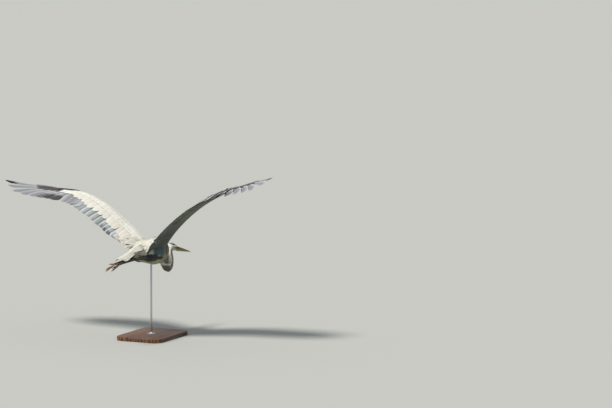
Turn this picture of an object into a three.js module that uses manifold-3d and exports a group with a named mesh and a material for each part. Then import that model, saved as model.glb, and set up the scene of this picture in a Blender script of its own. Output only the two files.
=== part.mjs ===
// Grey heron (Ardea cinerea), life size, flying with the neck folded and the legs trailing, held on a
// display stand. Millimetres, +Z up, +Y the way the bird flies, +X to the bird's right.
// The origin is the middle of the underside of the stand's base.
//
// The bird is modelled in a frame of its own, centred in the trunk. BIRD_POSE then banks it and lifts it
// over the base. Each wing is drawn flat, as a plan of x along the leading edge and y back from it,
// and wingPoint() bends that plan into the raised, arched wing. The left side is made like the right one,
// in a wing pose of its own, and mirrored.

import * as THREE from "three";
import { mergeVertices } from "three/addons/utils/BufferGeometryUtils.js";
import Module from "manifold-3d";

const wasm = await Module();
wasm.setup();

// ---------------------------------------------------------------- driving dimensions

const GAP = 0.35; // air left between pieces that touch
const SLIVER = 0.1; // edges shorter than this are closed up after a cut

// pose of the whole bird
const FLYING_HEIGHT = 420; // from the underside of the base to the middle of the trunk
const BANK = 4.2; // degrees, right wing up

// stand
const BASE = { width: 250, length: 350, thickness: 20, corner: 45, edge: 3 };
const ROD = { radius: 5, sunk: 12, y: -10, top: -20 }; // top is in the bird's frame
const FLANGE = { radius: 22, height: 6, rim: 2, shoulder: 11 };

// trunk, in its feathers: y, height of the middle, half width, half height above and below the middle
const TRUNK = [
  [-205, 37, 12, 9, 12],
  [-166, 31, 25, 21, 32],
  [-130, 22, 38, 35, 44],
  [-90, 15, 49, 48, 50],
  [-40, 14, 58, 58, 61],
  [10, 14, 63, 64, 73],
  [55, 14, 62, 65, 74],
  [90, 12, 54, 58, 69],
  [115, 9, 41, 45, 54],
  [133, 5, 22, 25, 30],
];

// neck, folded: the lower half runs down in front of the breast, the upper half rises to the head
const NECK_LINE = [
  [0, 55, 16],
  [0, 95, -14],
  [1, 123, -54],
  [3, 147, -91],
  [6, 170, -82],
  [7, 181, -52],
  [7, 177, -18],
  [6, 182, 5],
];
const NECK_PARTING = 0.52; // share of the line that is the lower neck
const NECK_WIDTH = [[0, 32], [0.25, 27], [0.45, 21], [0.6, 17], [0.8, 15], [1, 14]];
const NECK_DEPTH = [[0, 38], [0.25, 37], [0.45, 27], [0.6, 23], [0.8, 22], [1, 16]];

// head: middle of the skull, and where the bill points
const HEAD = { at: [9, 205, 3], yaw: 11, pitch: 15 };
// along the head, half width, above and below the line of the bill
const SKULL = [
  [-35, 6, 13, 1],
  [-29, 12, 19, 8],
  [-18, 16, 24, 14],
  [-4, 17, 25, 16],
  [10, 15.5, 23, 16],
  [22, 12, 18.5, 14.5],
  [31, 9.2, 13.4, 13.2],
];
const EYE = { radius: 6.4, along: 12, out: 10.2, up: 7.5 };
const BILL = { from: 27, to: 153, halfWidth: 8.8, height: 12.5, tip: 0.06 }; // height of each half at the root

// tail: twelve feathers, nearly closed
const TAIL = { root: [0, -166, 49], length: 197, rootHalf: 14, fan: 5.5, droop: 8.5, feathers: 12 };
const TAIL_SECTION = { thickness: 3, roof: 12 }; // the sides of the tail hang by the roof's height

// legs, right one: hip in the belly, middle of the thigh's bow, heel, and the root of the toes
const LEG = { hip: [30, -40, -10], bow: [30, -130, -6], heel: [22, -215, 1], toes: [14, -376, -2] };
const THIGH_RADIUS = [[0, 27], [0.3, 23], [0.6, 13], [0.85, 7.6], [1, 6]];
const TARSUS_RADIUS = [[0, 7], [0.06, 6.9], [0.14, 5], [0.85, 4.6], [0.95, 5.4], [1, 5.6]];
// toes: name, splay sideways and downwards in degrees, length, radius at the root
const TOES = [
  ["hind", 2, -9, 48, 3.7],
  ["inner", -4.5, 10, 66, 3.7],
  ["middle", 1, 15.5, 88, 4],
  ["outer", 6.5, 13, 76, 3.7],
];
// thickness along a toe, as shares of the radius at its root
const KNUCKLES = [[0, 1.15], [0.3, 0.8], [0.38, 1], [0.62, 0.72], [0.7, 0.88], [1, 0.6]];
const TOE_BALL = 6.6;
const CLAW = { length: 15, radius: 2, tip: 0.35, hook: 5 };

// each wing's pose: degrees at distances x along the leading edge, from the shoulder. The edge rises by the
// dihedral and runs back where the sweep is below 0, and the incidence turns the trailing edge down. The
// camber is the height of the section's arch.
const SHOULDER = [46, 68, 32];
const WING_POSE = {
  left: {
    dihedral: [[0, 50], [120, 41.5], [240, 41], [365, 29], [480, 10.5], [620, 13.5], [820, 19.5]],
    sweep: [[0, 10.5], [180, 1.5], [365, -2.5], [500, -14], [650, -14.5], [820, -29.5]],
    incidence: [[0, 1.5], [365, 5], [550, 3.5], [820, 8]],
    camber: [[0, 12.5], [200, 19.5], [365, 18.5], [520, 15.5], [820, -5]],
  },
  right: {
    dihedral: [[0, 55.8], [120, 43.1], [240, 34.4], [365, 24.4], [480, 16.7], [620, 18.9], [820, 10.7]],
    sweep: [[0, 9.4], [180, 1.9], [365, -6.8], [500, -12.1], [650, -12.5], [820, -37.2]],
    incidence: [[0, 4.5], [200, 3.3], [365, 2.4], [550, 2.8], [820, 13.2]],
    camber: [[0, 11.9], [120, 11.6], [240, 9.6], [365, 7.5], [480, 17], [600, 7.3], [820, -10.3]],
  },
};
const CHORD = 270; // across which the section arches

// flight feathers, numbered outwards: -1 to 4 tertials, 5-15 secondaries, 16-25 primaries
const TERTIALS = [-1, 4];
const SECONDARIES = [5, 15];
const PRIMARIES = [16, 25];
const FIRST_FINGER = 20; // primaries from here on stand apart at the tip
const QUILL_X = [[-1, 8], [5, 158], [15, 430], [16, 446], [25, 578]];
const QUILL_Y = [[-1, 44], [5, 74], [15, 22], [16, 20], [25, 6]];
// the quills' angle out from straight back
const QUILL_ANGLE = [[-1, -17], [5, -8.5], [10, 0.5], [15, 7], [16, 8.5], [20, 37], [25, 83.5]];
const QUILL_LENGTH = [
  [-1, 177], [0, 195], [1, 195], [2, 188], [5, 188],
  [15, 228], [16, 234], [19, 232], [21, 258], [23, 303], [24, 295], [25, 277],
];
const COVERED = 0.36; // share of each flight feather that lies in the flesh and coverts
// how far each part of a row's edge reaches, as a share of the feather's length
const REACH = { middle: 1, shoulder: 0.972, end: 0.935, notch: 0.955, slot: 0.8 };
const HALF_FEATHER = { shoulder: 0.3, end: 0.42 }; // half widths, as shares of the space between two quills
const VANE = { thickness: 1.6, thinning: 0.45 };
const FINGER_LIFT = 7; // how far the outer primaries' tips bend up

// arm and hand in their coverts: where the section starts on the leading edge, and half its thickness
const LEAD_X = [[-1, -16], [0, 10], [5, 148], [15, 428], [16, 444], [25, 640]];
const HALF_THICKNESS = [[-1, 11.5], [5, 9.6], [10, 8.1], [15, 6.6], [19, 4.6], [25, 2.3]];
const REAR_HALF_THICKNESS = 1.4;
const ARM = [-1, 15.5];
const HAND = [15.54, 25.3];

// ---------------------------------------------------------------- small tools

const rad = THREE.MathUtils.degToRad;
const vec = (x, y, z) => new THREE.Vector3(x, y, z);

// the value of a table of [place, value] rows at a place, straight between the rows
function between(table, place) {
  const last = table.length - 1;
  if (place <= table[0][0]) return table[0][1];
  for (let i = 1; i <= last; i++) {
    const [a, from] = table[i - 1];
    const [b, to] = table[i];
    if (place <= b) return from + ((to - from) * (place - a)) / (b - a);
  }
  return table[last][1];
}

// a closed solid through rings of equally many points, with flat ends
function loft(rings) {
  const around = rings[0].length;
  const points = rings.flat();
  const faces = [];
  for (let r = 0; r + 1 < rings.length; r++)
    for (let i = 0; i < around; i++) {
      const j = (i + 1) % around;
      const [a, b] = [r * around + i, r * around + j];
      faces.push(a, b, b + around, a, b + around, a + around);
    }
  for (const [r, turned] of [[0, true], [rings.length - 1, false]]) {
    const middle = rings[r].reduce((sum, p) => sum.add(p), vec(0, 0, 0)).divideScalar(around);
    points.push(middle);
    for (let i = 0; i < around; i++) {
      const [a, b] = [r * around + i, r * around + ((i + 1) % around)];
      faces.push(...(turned ? [points.length - 1, b, a] : [points.length - 1, a, b]));
    }
  }
  return facingOut(new THREE.BufferGeometry().setFromPoints(points).setIndex(faces));
}

// a closed thin solid from a grid of columns of points on its upper and lower sides
function sheet(upper, lower) {
  const rows = upper[0].length;
  const columns = upper.length;
  const points = [...upper.flat(), ...lower.flat()];
  const under = columns * rows;
  const faces = [];
  const quad = (a, b, c, d) => faces.push(a, b, c, a, c, d);
  for (let c = 0; c + 1 < columns; c++)
    for (let r = 0; r + 1 < rows; r++) {
      const a = c * rows + r;
      quad(a, a + 1, a + rows + 1, a + rows);
      quad(under + a, under + a + rows, under + a + rows + 1, under + a + 1);
    }
  for (let c = 0; c + 1 < columns; c++) {
    const [root, tip] = [c * rows, c * rows + rows - 1];
    quad(root, root + rows, root + rows + under, root + under);
    quad(tip, tip + under, tip + rows + under, tip + rows);
  }
  for (let r = 0; r + 1 < rows; r++) {
    const end = (columns - 1) * rows + r;
    quad(r, r + under, r + 1 + under, r + 1);
    quad(end, end + 1, end + 1 + under, end + under);
  }
  return facingOut(new THREE.BufferGeometry().setFromPoints(points).setIndex(faces));
}

// the same geometry, turned if its faces point inwards
function facingOut(geometry) {
  const at = geometry.getAttribute("position");
  const [a, b, c] = [vec(0, 0, 0), vec(0, 0, 0), vec(0, 0, 0)];
  const faces = geometry.index.array;
  let volume = 0;
  for (let i = 0; i < faces.length; i += 3) {
    [a, b, c].forEach((p, k) => p.fromBufferAttribute(at, faces[i + k]));
    volume += a.dot(b.cross(c));
  }
  if (volume < 0)
    for (let i = 0; i < faces.length; i += 3)
      [faces[i + 1], faces[i + 2]] = [faces[i + 2], faces[i + 1]];
  return geometry;
}

// a geometry as merged points and faces only
function plain(geometry) {
  const bare = new THREE.BufferGeometry().setAttribute("position", geometry.getAttribute("position"));
  return facingOut(mergeVertices(bare.setIndex(geometry.index), 1e-3));
}

function solidOf(geometry) {
  const { attributes, index } = plain(geometry);
  const vertProperties = attributes.position.array;
  return new wasm.Manifold(
    new wasm.Mesh({ numProp: 3, vertProperties, triVerts: new Uint32Array(index.array) }),
  );
}

function geometryOf(solid) {
  const mesh = solid.getMesh();
  return new THREE.BufferGeometry()
    .setAttribute("position", new THREE.BufferAttribute(mesh.vertProperties, 3))
    .setIndex(new THREE.BufferAttribute(mesh.triVerts, 1));
}

// a copy of a geometry, swollen by the gap
function swollen(geometry) {
  const copy = plain(geometry.clone());
  copy.computeVertexNormals();
  const [at, normal] = [copy.getAttribute("position"), copy.getAttribute("normal")];
  const point = vec(0, 0, 0);
  for (let i = 0; i < at.count; i++) {
    point.fromBufferAttribute(at, i).addScaledVector(vec(0, 0, 0).fromBufferAttribute(normal, i), GAP);
    at.setXYZ(i, ...point);
  }
  return copy;
}

// a geometry with its neighbours cut away, as its largest piece
function cutBy(geometry, ...neighbours) {
  const cut = neighbours.reduce((solid, n) => solid.subtract(solidOf(swollen(n))), solidOf(geometry));
  const largest = cut.decompose().reduce((a, b) => (a.volume() > b.volume() ? a : b));
  return geometryOf(largest.simplify(SLIVER));
}

function joined(...geometries) {
  return geometryOf(geometries.map(solidOf).reduce((a, b) => a.add(b)));
}

function mirrored(geometry) {
  const copy = geometry.clone();
  const at = copy.getAttribute("position");
  for (let i = 0; i < at.count; i++) at.setX(i, -at.getX(i));
  return facingOut(copy);
}

// a ring round a point, between two directions square to each other
function ring(middle, side, up, halfWidth, above, below, count) {
  return Array.from({ length: count }, (_, i) => {
    const angle = (2 * Math.PI * i) / count;
    const height = Math.sin(angle) * (Math.sin(angle) > 0 ? above : below);
    return middle.clone().addScaledVector(side, halfWidth * Math.cos(angle)).addScaledVector(up, height);
  });
}

// a round solid along a curve, from one share of its length to another, by tables of half width and depth
function tube(curve, from, to, width, depth, steps, count) {
  const rings = [];
  for (let i = 0; i <= steps; i++) {
    const t = from + ((to - from) * i) / steps;
    const tangent = curve.getTangentAt(t);
    const side = vec(1, 0, 0).addScaledVector(tangent, -tangent.x).normalize();
    const up = side.clone().cross(tangent);
    const half = between(depth, t);
    rings.push(ring(curve.getPointAt(t), side, up, between(width, t), half, half, count));
  }
  return loft(rings);
}

// ---------------------------------------------------------------- trunk, neck and head

function makeTrunk() {
  const across = vec(1, 0, 0);
  const up = vec(0, 0, 1);
  return loft(
    TRUNK.map(([y, z, half, above, below]) => ring(vec(0, y, z), across, up, half, above, below, 20)),
  );
}

function makeNeck(from, to, steps) {
  const line = new THREE.CatmullRomCurve3(NECK_LINE.map((p) => vec(...p)));
  return tube(line, from, to, NECK_WIDTH, NECK_DEPTH, steps, 14);
}

// the frame of the head, whose Y axis is the line of the bill
function headFrame() {
  const turn = new THREE.Euler(-rad(HEAD.pitch), 0, -rad(HEAD.yaw), "ZYX");
  return new THREE.Matrix4().makeRotationFromEuler(turn).setPosition(...HEAD.at);
}

function makeSkull() {
  const rings = SKULL.map(([y, half, above, below]) =>
    ring(vec(0, y, 0), vec(1, 0, 0), vec(0, 0, 1), half, above, below, 14),
  );
  return loft(rings).applyMatrix4(headFrame());
}

// half of the bill: a long wedge with a flat side where it meets the other half
function makeBillHalf(sign) {
  const steps = 7;
  const count = 8;
  const roundness = 0.85;
  const rings = [];
  for (let i = 0; i <= steps; i++) {
    const t = i / steps;
    const y = BILL.from + (BILL.to - BILL.from) * t;
    const taper = BILL.tip + (1 - BILL.tip) * (1 - t) ** roundness;
    const points = Array.from({ length: count }, (_, k) => {
      const angle = (Math.PI * k) / (count - 1);
      return vec(
        BILL.halfWidth * taper * Math.cos(angle),
        y,
        sign * (GAP / 2 + BILL.height * taper * Math.sin(angle) ** roundness),
      );
    });
    rings.push(points);
  }
  return loft(rings).applyMatrix4(headFrame());
}

function makeEye(side) {
  const ball = plain(new THREE.SphereGeometry(EYE.radius, 12, 8));
  return ball.translate(side * EYE.out, EYE.along, EYE.up).applyMatrix4(headFrame());
}

// ---------------------------------------------------------------- wings

// directions at x in a wing pose: along the leading edge, back across the wing, and up out of it
function wingFrame(pose, x) {
  const tables = [pose.dihedral, pose.sweep, pose.incidence];
  const [dihedral, sweep, incidence] = tables.map((table) => rad(between(table, x)));
  const along = vec(
    Math.cos(dihedral) * Math.cos(sweep),
    Math.sin(sweep),
    Math.sin(dihedral) * Math.cos(sweep),
  );
  const level = vec(0, -1, 0).addScaledVector(along, along.y).normalize();
  const rise = level.clone().cross(along);
  const back = level.multiplyScalar(Math.cos(incidence)).addScaledVector(rise, -Math.sin(incidence));
  return { along, back, up: back.clone().cross(along) };
}

// each pose's leading edge, as points a step apart
const STEP = 5;
for (const pose of Object.values(WING_POSE)) {
  pose.edge = [vec(...SHOULDER)];
  for (let x = STEP; x <= 850; x += STEP)
    pose.edge.push(pose.edge.at(-1).clone().addScaledVector(wingFrame(pose, x - STEP / 2).along, STEP));
}

// the point of a wing at x along the leading edge, y back from it, and h above the vanes, on the right side
function wingPoint(pose, x, y, h) {
  const { along, back, up } = wingFrame(pose, x);
  const place = THREE.MathUtils.clamp(x / STEP, 0, pose.edge.length - 1);
  const low = Math.min(Math.floor(place), pose.edge.length - 2);
  const edge = pose.edge[low].clone().lerp(pose.edge[low + 1], place - low);
  edge.addScaledVector(along, x - place * STEP);
  const arch = (between(pose.camber, x) * 4 * y * (CHORD - y)) / CHORD ** 2;
  return edge.addScaledVector(back, y).addScaledVector(up, h + arch);
}

// the point on the plan at a share t of flight feather q, counted from its root
function quillPoint(q, t) {
  const angle = rad(between(QUILL_ANGLE, q));
  const reach = between(QUILL_LENGTH, q) * t;
  return [between(QUILL_X, q) + reach * Math.sin(angle), between(QUILL_Y, q) + reach * Math.cos(angle)];
}

function fingerLift(q, t) {
  const outer = THREE.MathUtils.smoothstep(q, FIRST_FINGER - 2, PRIMARIES[1]);
  return FINGER_LIFT * outer * Math.max(0, (t - 0.5) / 0.5) ** 2;
}

// the columns of a row of vanes, as [feather number, reach]: a lobe for each tip, and a notch or slot between
function vaneColumns([first, last], rounded) {
  const columns = [];
  for (let q = first; q <= last; q++) {
    if (q === first) columns.push([q - HALF_FEATHER.end, REACH.end]);
    else if (rounded) columns.push([q - HALF_FEATHER.shoulder, REACH.shoulder]);
    columns.push([q, REACH.middle]);
    if (q === last) columns.push([q + HALF_FEATHER.end, REACH.end]);
    else if (rounded) columns.push([q + HALF_FEATHER.shoulder, REACH.shoulder]);
    if (q < last) columns.push([q + 0.5, q >= FIRST_FINGER ? REACH.slot : REACH.notch]);
  }
  return columns;
}

// flight feathers side by side as one thin solid
function makeVanes(pose, feathers, rows, rounded) {
  const side = (sign) =>
    vaneColumns(feathers, rounded).map(([q, reach]) =>
      Array.from({ length: rows + 1 }, (_, r) => {
        const t = COVERED + ((reach - COVERED) * r) / rows;
        const half = (VANE.thickness / 2) * (1 - VANE.thinning * t);
        return wingPoint(pose, ...quillPoint(q, t), fingerLift(q, t) + sign * half);
      }),
    );
  return sheet(side(1), side(-1));
}

// the flesh and coverts of a stretch of the wing, as a rounded section from the leading edge to the vanes
function makeWingFlesh(pose, [from, to], steps) {
  const count = 12;
  const fullest = Math.cos(Math.PI / count); // the ring's points straddle the front and rear edges
  const rings = [];
  for (let i = 0; i <= steps; i++) {
    const q = from + ((to - from) * i) / steps;
    const lead = between(LEAD_X, q);
    const [rearX, rearY] = quillPoint(q, COVERED);
    const clear = 1 - (2 * GAP) / rearY; // keeps off the vanes behind
    const points = Array.from({ length: count }, (_, k) => {
      const angle = (2 * Math.PI * (k + 0.5)) / count;
      const back = (1 - Math.cos(angle) / fullest) / 2; // from 0 at the front edge to 1 at the rear
      const swell = 2.5 * Math.sqrt(back + 0.02) * (1 - back); // fullest at a third of the way
      const half = between(HALF_THICKNESS, q) * swell + REAR_HALF_THICKNESS * back;
      const share = back * clear;
      const x = lead + (rearX - lead) * share;
      return wingPoint(pose, x, rearY * share, Math.sign(Math.sin(angle)) * half);
    });
    rings.push(points);
  }
  return loft(rings);
}

// ---------------------------------------------------------------- tail

function makeTail() {
  const rows = 2;
  const turn = new THREE.Matrix4().makeRotationX(rad(TAIL.droop)).setPosition(...TAIL.root);
  const side = (sign) =>
    Array.from({ length: 2 * TAIL.feathers - 1 }, (_, i) => {
      const q = i / (TAIL.feathers - 1) - 1; // from the left edge at -1 to the right edge at 1
      const reach = TAIL.length * ((i % 2 ? 0.965 : 1) - 0.07 * q * q);
      return Array.from({ length: rows + 1 }, (_, r) => {
        const t = r / rows;
        const x = TAIL.rootHalf * q + Math.sin(rad(TAIL.fan * q)) * reach * t;
        const roof = TAIL_SECTION.roof * q * q * (0.4 + 0.6 * t);
        const half = (TAIL_SECTION.thickness / 2) * (1 - 0.6 * t);
        return vec(x, -Math.cos(rad(TAIL.fan * q)) * reach * t, sign * half - roof).applyMatrix4(turn);
      });
    });
  return sheet(side(1), side(-1));
}

// ---------------------------------------------------------------- legs, right side

function makeThigh() {
  const line = new THREE.QuadraticBezierCurve3(vec(...LEG.hip), vec(...LEG.bow), vec(...LEG.heel));
  const deep = THIGH_RADIUS.map(([t, r]) => [t, r * 1.12]);
  return tube(line, 0, 0.985, THIGH_RADIUS, deep, 10, 14);
}

function makeTarsus() {
  const line = new THREE.LineCurve3(vec(...LEG.heel), vec(...LEG.toes));
  const deep = TARSUS_RADIUS.map(([t, r]) => [t, r * 1.1]);
  return tube(line, 0.005, 1, TARSUS_RADIUS, deep, 8, 8);
}

function toeLine([, splay, down, length]) {
  const root = vec(...LEG.toes).add(vec(0, -2, 0));
  const heading = (share) =>
    vec(Math.sin(rad(splay * share)), -1, -Math.tan(rad(down)) * share).normalize();
  const points = [root, root.clone().addScaledVector(heading(1), length * 0.35)];
  points.push(points[1].clone().addScaledVector(heading(0.75), length * 0.35));
  points.push(points[2].clone().addScaledVector(heading(0.9), length * 0.3));
  return new THREE.CatmullRomCurve3(points);
}

function makeFoot() {
  const toes = TOES.map((toe) => {
    const thickness = KNUCKLES.map(([t, share]) => [t, share * toe[4]]);
    return tube(toeLine(toe), 0, 0.97, thickness, thickness, 6, 6);
  });
  const ball = plain(new THREE.SphereGeometry(TOE_BALL, 8, 6));
  return joined(ball.translate(...LEG.toes), ...toes);
}

function makeClaw(toe) {
  const line = toeLine(toe);
  const root = line.getPointAt(0.975);
  const heading = line.getTangentAt(1);
  const bend = root.clone().addScaledVector(heading, CLAW.length * 0.6);
  const tip = root.clone().addScaledVector(heading, CLAW.length).add(vec(0, 0, -CLAW.hook));
  const hook = new THREE.QuadraticBezierCurve3(root, bend, tip);
  const width = [[0, CLAW.radius], [1, CLAW.tip]];
  const depth = [[0, CLAW.radius * 1.2], [1, CLAW.tip * 1.2]];
  return tube(hook, 0.02, 1, width, depth, 3, 5);
}

// ---------------------------------------------------------------- stand

function makeBase() {
  const [w, l, c] = [BASE.width / 2 - BASE.edge, BASE.length / 2 - BASE.edge, BASE.corner];
  const outline = new THREE.Shape();
  outline.moveTo(-w + c, -l);
  outline.lineTo(w - c, -l).absarc(w - c, -l + c, c, -Math.PI / 2, 0);
  outline.lineTo(w, l - c).absarc(w - c, l - c, c, 0, Math.PI / 2);
  outline.lineTo(-w + c, l).absarc(-w + c, l - c, c, Math.PI / 2, Math.PI);
  outline.lineTo(-w, -l + c).absarc(-w + c, -l + c, c, Math.PI, 1.5 * Math.PI);
  const block = new THREE.ExtrudeGeometry(outline, {
    depth: BASE.thickness - 2 * BASE.edge,
    bevelThickness: BASE.edge,
    bevelSize: BASE.edge,
    bevelSegments: 1,
    curveSegments: 5,
  });
  return plain(block.translate(0, 0, BASE.edge));
}

function makeRod(top) {
  const bottom = BASE.thickness - ROD.sunk;
  const rod = new THREE.CylinderGeometry(ROD.radius, ROD.radius, top - bottom, 16);
  return plain(rod.rotateX(Math.PI / 2).translate(0, ROD.y, (top + bottom) / 2));
}

function makeFlange() {
  const [low, high] = [BASE.thickness + GAP, BASE.thickness + GAP + FLANGE.height];
  const hole = ROD.radius + GAP;
  const { radius, rim, shoulder } = FLANGE;
  const profile = [[hole, low], [radius, low], [radius, low + rim], [shoulder, high], [hole, high]];
  const closed = [...profile, profile[0]].map(([r, z]) => new THREE.Vector2(r, z));
  const turned = new THREE.LatheGeometry(closed, 20);
  return plain(turned.rotateX(Math.PI / 2).translate(0, ROD.y, 0));
}

// ---------------------------------------------------------------- assembly

const BIRD_POSE = new THREE.Matrix4()
  .makeTranslation(0, 0, FLYING_HEIGHT)
  .multiply(new THREE.Matrix4().makeRotationY(-rad(BANK)));
const posed = (geometry) => geometry.clone().applyMatrix4(BIRD_POSE);

const PAINT = {
  feather_pale: { color: 0xb9bbbc, roughness: 0.75 },
  feather_grey: { color: 0x8b9299, roughness: 0.75 },
  feather_dark: { color: 0x4a4c50, roughness: 0.6 },
  neck_white: { color: 0xd8d3c9, roughness: 0.8 },
  bill_horn: { color: 0xb98a3a, roughness: 0.4 },
  leg_scales: { color: 0x6b5a42, roughness: 0.6 },
  claw_horn: { color: 0x2b2622, roughness: 0.4 },
  eye_glass: { color: 0xd9b72e, roughness: 0.1 },
  base_walnut: { color: 0x4b3424, roughness: 0.5 },
  rod_steel: { color: 0xb8bbbe, roughness: 0.3, metalness: 1 },
};

const heron = new THREE.Group();

function add(name, paint, geometry) {
  const mesh = new THREE.Mesh(geometry, new THREE.MeshStandardMaterial(PAINT[paint]));
  mesh.name = name;
  heron.add(mesh);
  return geometry;
}

const rod = makeRod(FLYING_HEIGHT + ROD.top);
add("stand_base", "base_walnut", cutBy(makeBase(), rod));
add("stand_flange", "rod_steel", makeFlange());
add("stand_rod", "rod_steel", rod);

const trunk = add("trunk", "feather_pale", cutBy(posed(makeTrunk()), rod));
const neckLower = add("neck_lower", "neck_white", cutBy(posed(makeNeck(0, NECK_PARTING - 0.001, 9)), trunk));
const eyeLeft = add("eye_left", "eye_glass", posed(makeEye(-1)));
const eyeRight = add("eye_right", "eye_glass", posed(makeEye(1)));
const head = add("head", "neck_white", cutBy(posed(makeSkull()), trunk, eyeLeft, eyeRight));
const neckUpper = posed(makeNeck(NECK_PARTING + 0.001, 1, 9));
add("neck_upper", "neck_white", cutBy(neckUpper, trunk, neckLower, head, eyeLeft, eyeRight));
add("bill_upper", "bill_horn", cutBy(posed(makeBillHalf(1)), head));
add("bill_lower", "bill_horn", cutBy(posed(makeBillHalf(-1)), head));
const tail = add("tail", "feather_grey", cutBy(posed(makeTail()), trunk));

const SIDES = { right: (geometry) => posed(geometry), left: (geometry) => posed(mirrored(geometry)) };

for (const [name, sided] of Object.entries(SIDES)) {
  const pose = WING_POSE[name];
  const arm = add(
    "wing_arm_" + name,
    "feather_pale",
    cutBy(sided(makeWingFlesh(pose, ARM, 10)), trunk, neckLower),
  );
  const hand = add("wing_hand_" + name, "feather_grey", cutBy(sided(makeWingFlesh(pose, HAND, 7)), arm));
  const tertials = sided(makeVanes(pose, TERTIALS, 3, false));
  add("tertials_" + name, "feather_pale", cutBy(tertials, trunk, tail, arm));
  const secondaries = sided(makeVanes(pose, SECONDARIES, 3, false));
  add("secondaries_" + name, "feather_grey", cutBy(secondaries, arm, hand));
  const primaries = sided(makeVanes(pose, PRIMARIES, 4, true));
  add("primaries_" + name, "feather_dark", cutBy(primaries, arm, hand));

  const thigh = add("thigh_" + name, "feather_pale", cutBy(sided(makeThigh()), trunk, tail));
  const tarsus = add("tarsus_" + name, "leg_scales", cutBy(sided(makeTarsus()), thigh, tail));
  add("foot_" + name, "leg_scales", cutBy(sided(makeFoot()), tarsus));
  for (const toe of TOES) add(`claw_${toe[0]}_${name}`, "claw_horn", sided(makeClaw(toe)));
}

export default heron;
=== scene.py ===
from itertools import product
from math import atan2, cos, pi, radians, sin

import bmesh
import bpy
import numpy as np
from mathutils import Matrix, Vector
from mathutils.bvhtree import BVHTree


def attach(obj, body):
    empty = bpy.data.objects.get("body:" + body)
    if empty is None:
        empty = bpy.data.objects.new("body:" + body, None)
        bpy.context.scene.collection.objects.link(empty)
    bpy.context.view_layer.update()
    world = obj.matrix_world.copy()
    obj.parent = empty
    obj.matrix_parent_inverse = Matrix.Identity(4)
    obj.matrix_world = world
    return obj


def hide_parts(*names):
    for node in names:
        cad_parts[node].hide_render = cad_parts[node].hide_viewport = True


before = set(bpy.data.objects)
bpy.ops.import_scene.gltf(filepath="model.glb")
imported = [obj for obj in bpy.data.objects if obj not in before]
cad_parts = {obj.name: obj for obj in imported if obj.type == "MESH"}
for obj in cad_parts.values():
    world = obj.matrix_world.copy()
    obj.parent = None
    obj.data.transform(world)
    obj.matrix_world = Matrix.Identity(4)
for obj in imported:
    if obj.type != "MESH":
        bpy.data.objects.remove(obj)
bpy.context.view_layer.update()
scene = bpy.context.scene

# ---------------------------------------------------------------- stand: base
# A board of solid walnut, 250 x 350 mm and 20 mm thick, with rounded corners and softened edges.
# Its faces are planed and oiled, so the grain shows and the surface has only a low sheen.
BOARD = (0.250, 0.350, 0.020)
BOARD_CORNER, BOARD_EDGE = 0.045, 0.003


def linear(code):
    """An sRGB hex colour as linear red, green, blue and alpha."""
    parts = [int(code[i : i + 2], 16) / 255 for i in (1, 3, 5)]
    return (*(c / 12.92 if c <= 0.04045 else ((c + 0.055) / 1.055) ** 2.4 for c in parts), 1.0)


def material(name, **sockets):
    """A new Principled material with numbers and colours set on the shader's own sockets."""
    made = bpy.data.materials.new(name)
    made.use_nodes = True
    shader = made.node_tree.nodes["Principled BSDF"]
    for key, value in sockets.items():
        shader.inputs[key.replace("_", " ")].default_value = value
    return made


def add(made, kind, inputs, **settings):
    """Adds a shader node with its settings, and its inputs by name or number: values, sockets or whole nodes."""
    node = made.node_tree.nodes.new("ShaderNode" + kind)
    for key, value in settings.items():
        setattr(node, key, value)
    for key, value in inputs.items():
        if isinstance(value, bpy.types.Node):
            value = value.outputs[0]
        if isinstance(value, bpy.types.NodeSocket):
            made.node_tree.links.new(value, node.inputs[key])
        else:
            node.inputs[key].default_value = value
    return node


def to_surface(made, **links):
    """Links nodes or sockets to the material's shader."""
    shader = made.node_tree.nodes["Principled BSDF"]
    for key, value in links.items():
        source = value.outputs[0] if isinstance(value, bpy.types.Node) else value
        made.node_tree.links.new(source, shader.inputs[key.replace("_", " ")])


def ramp(made, value, stops):
    """A colour ramp of (place, hex colour) stops."""
    node = add(made, "ValToRGB", {"Fac": value})
    elements = node.color_ramp.elements
    while len(elements) < len(stops):
        elements.new(1.0)
    for element, (place, code) in zip(elements, stops):
        element.position, element.color = place, linear(code)
    return node


def finished(made, colour, shade, height, strength, depth):
    """Gives the surface a colour darkened or lightened by a shade, and a bump by a height, its depth in metres."""
    shaded = add(made, "Mix", {0: 1.0, 6: colour, 7: shade}, data_type="RGBA", blend_type="MULTIPLY")
    bump = add(made, "Bump", {"Height": height, "Strength": strength, "Distance": depth})
    to_surface(made, Base_Color=shaded.outputs[2], Normal=bump)


def placed(name, bm):
    """An object of the scene from a bmesh, which is used up."""
    mesh = bpy.data.meshes.new(name)
    bm.to_mesh(mesh)
    bm.free()
    ob = bpy.data.objects.new(name, mesh)
    scene.collection.objects.link(ob)
    return ob


def finish_piece(ob, made, slot, *nodes):
    """Makes an object a smooth piece of the model, with its material, standing for CAD nodes."""
    ob.data.polygons.foreach_set("use_smooth", [True] * len(ob.data.polygons))
    ob.data.materials.append(made)
    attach(ob, "root")
    if nodes:
        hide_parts(*nodes)
    return ob


def piece(name, bm, made, slot, *nodes):
    return finish_piece(placed(name, bm), made, slot, *nodes)


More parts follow.
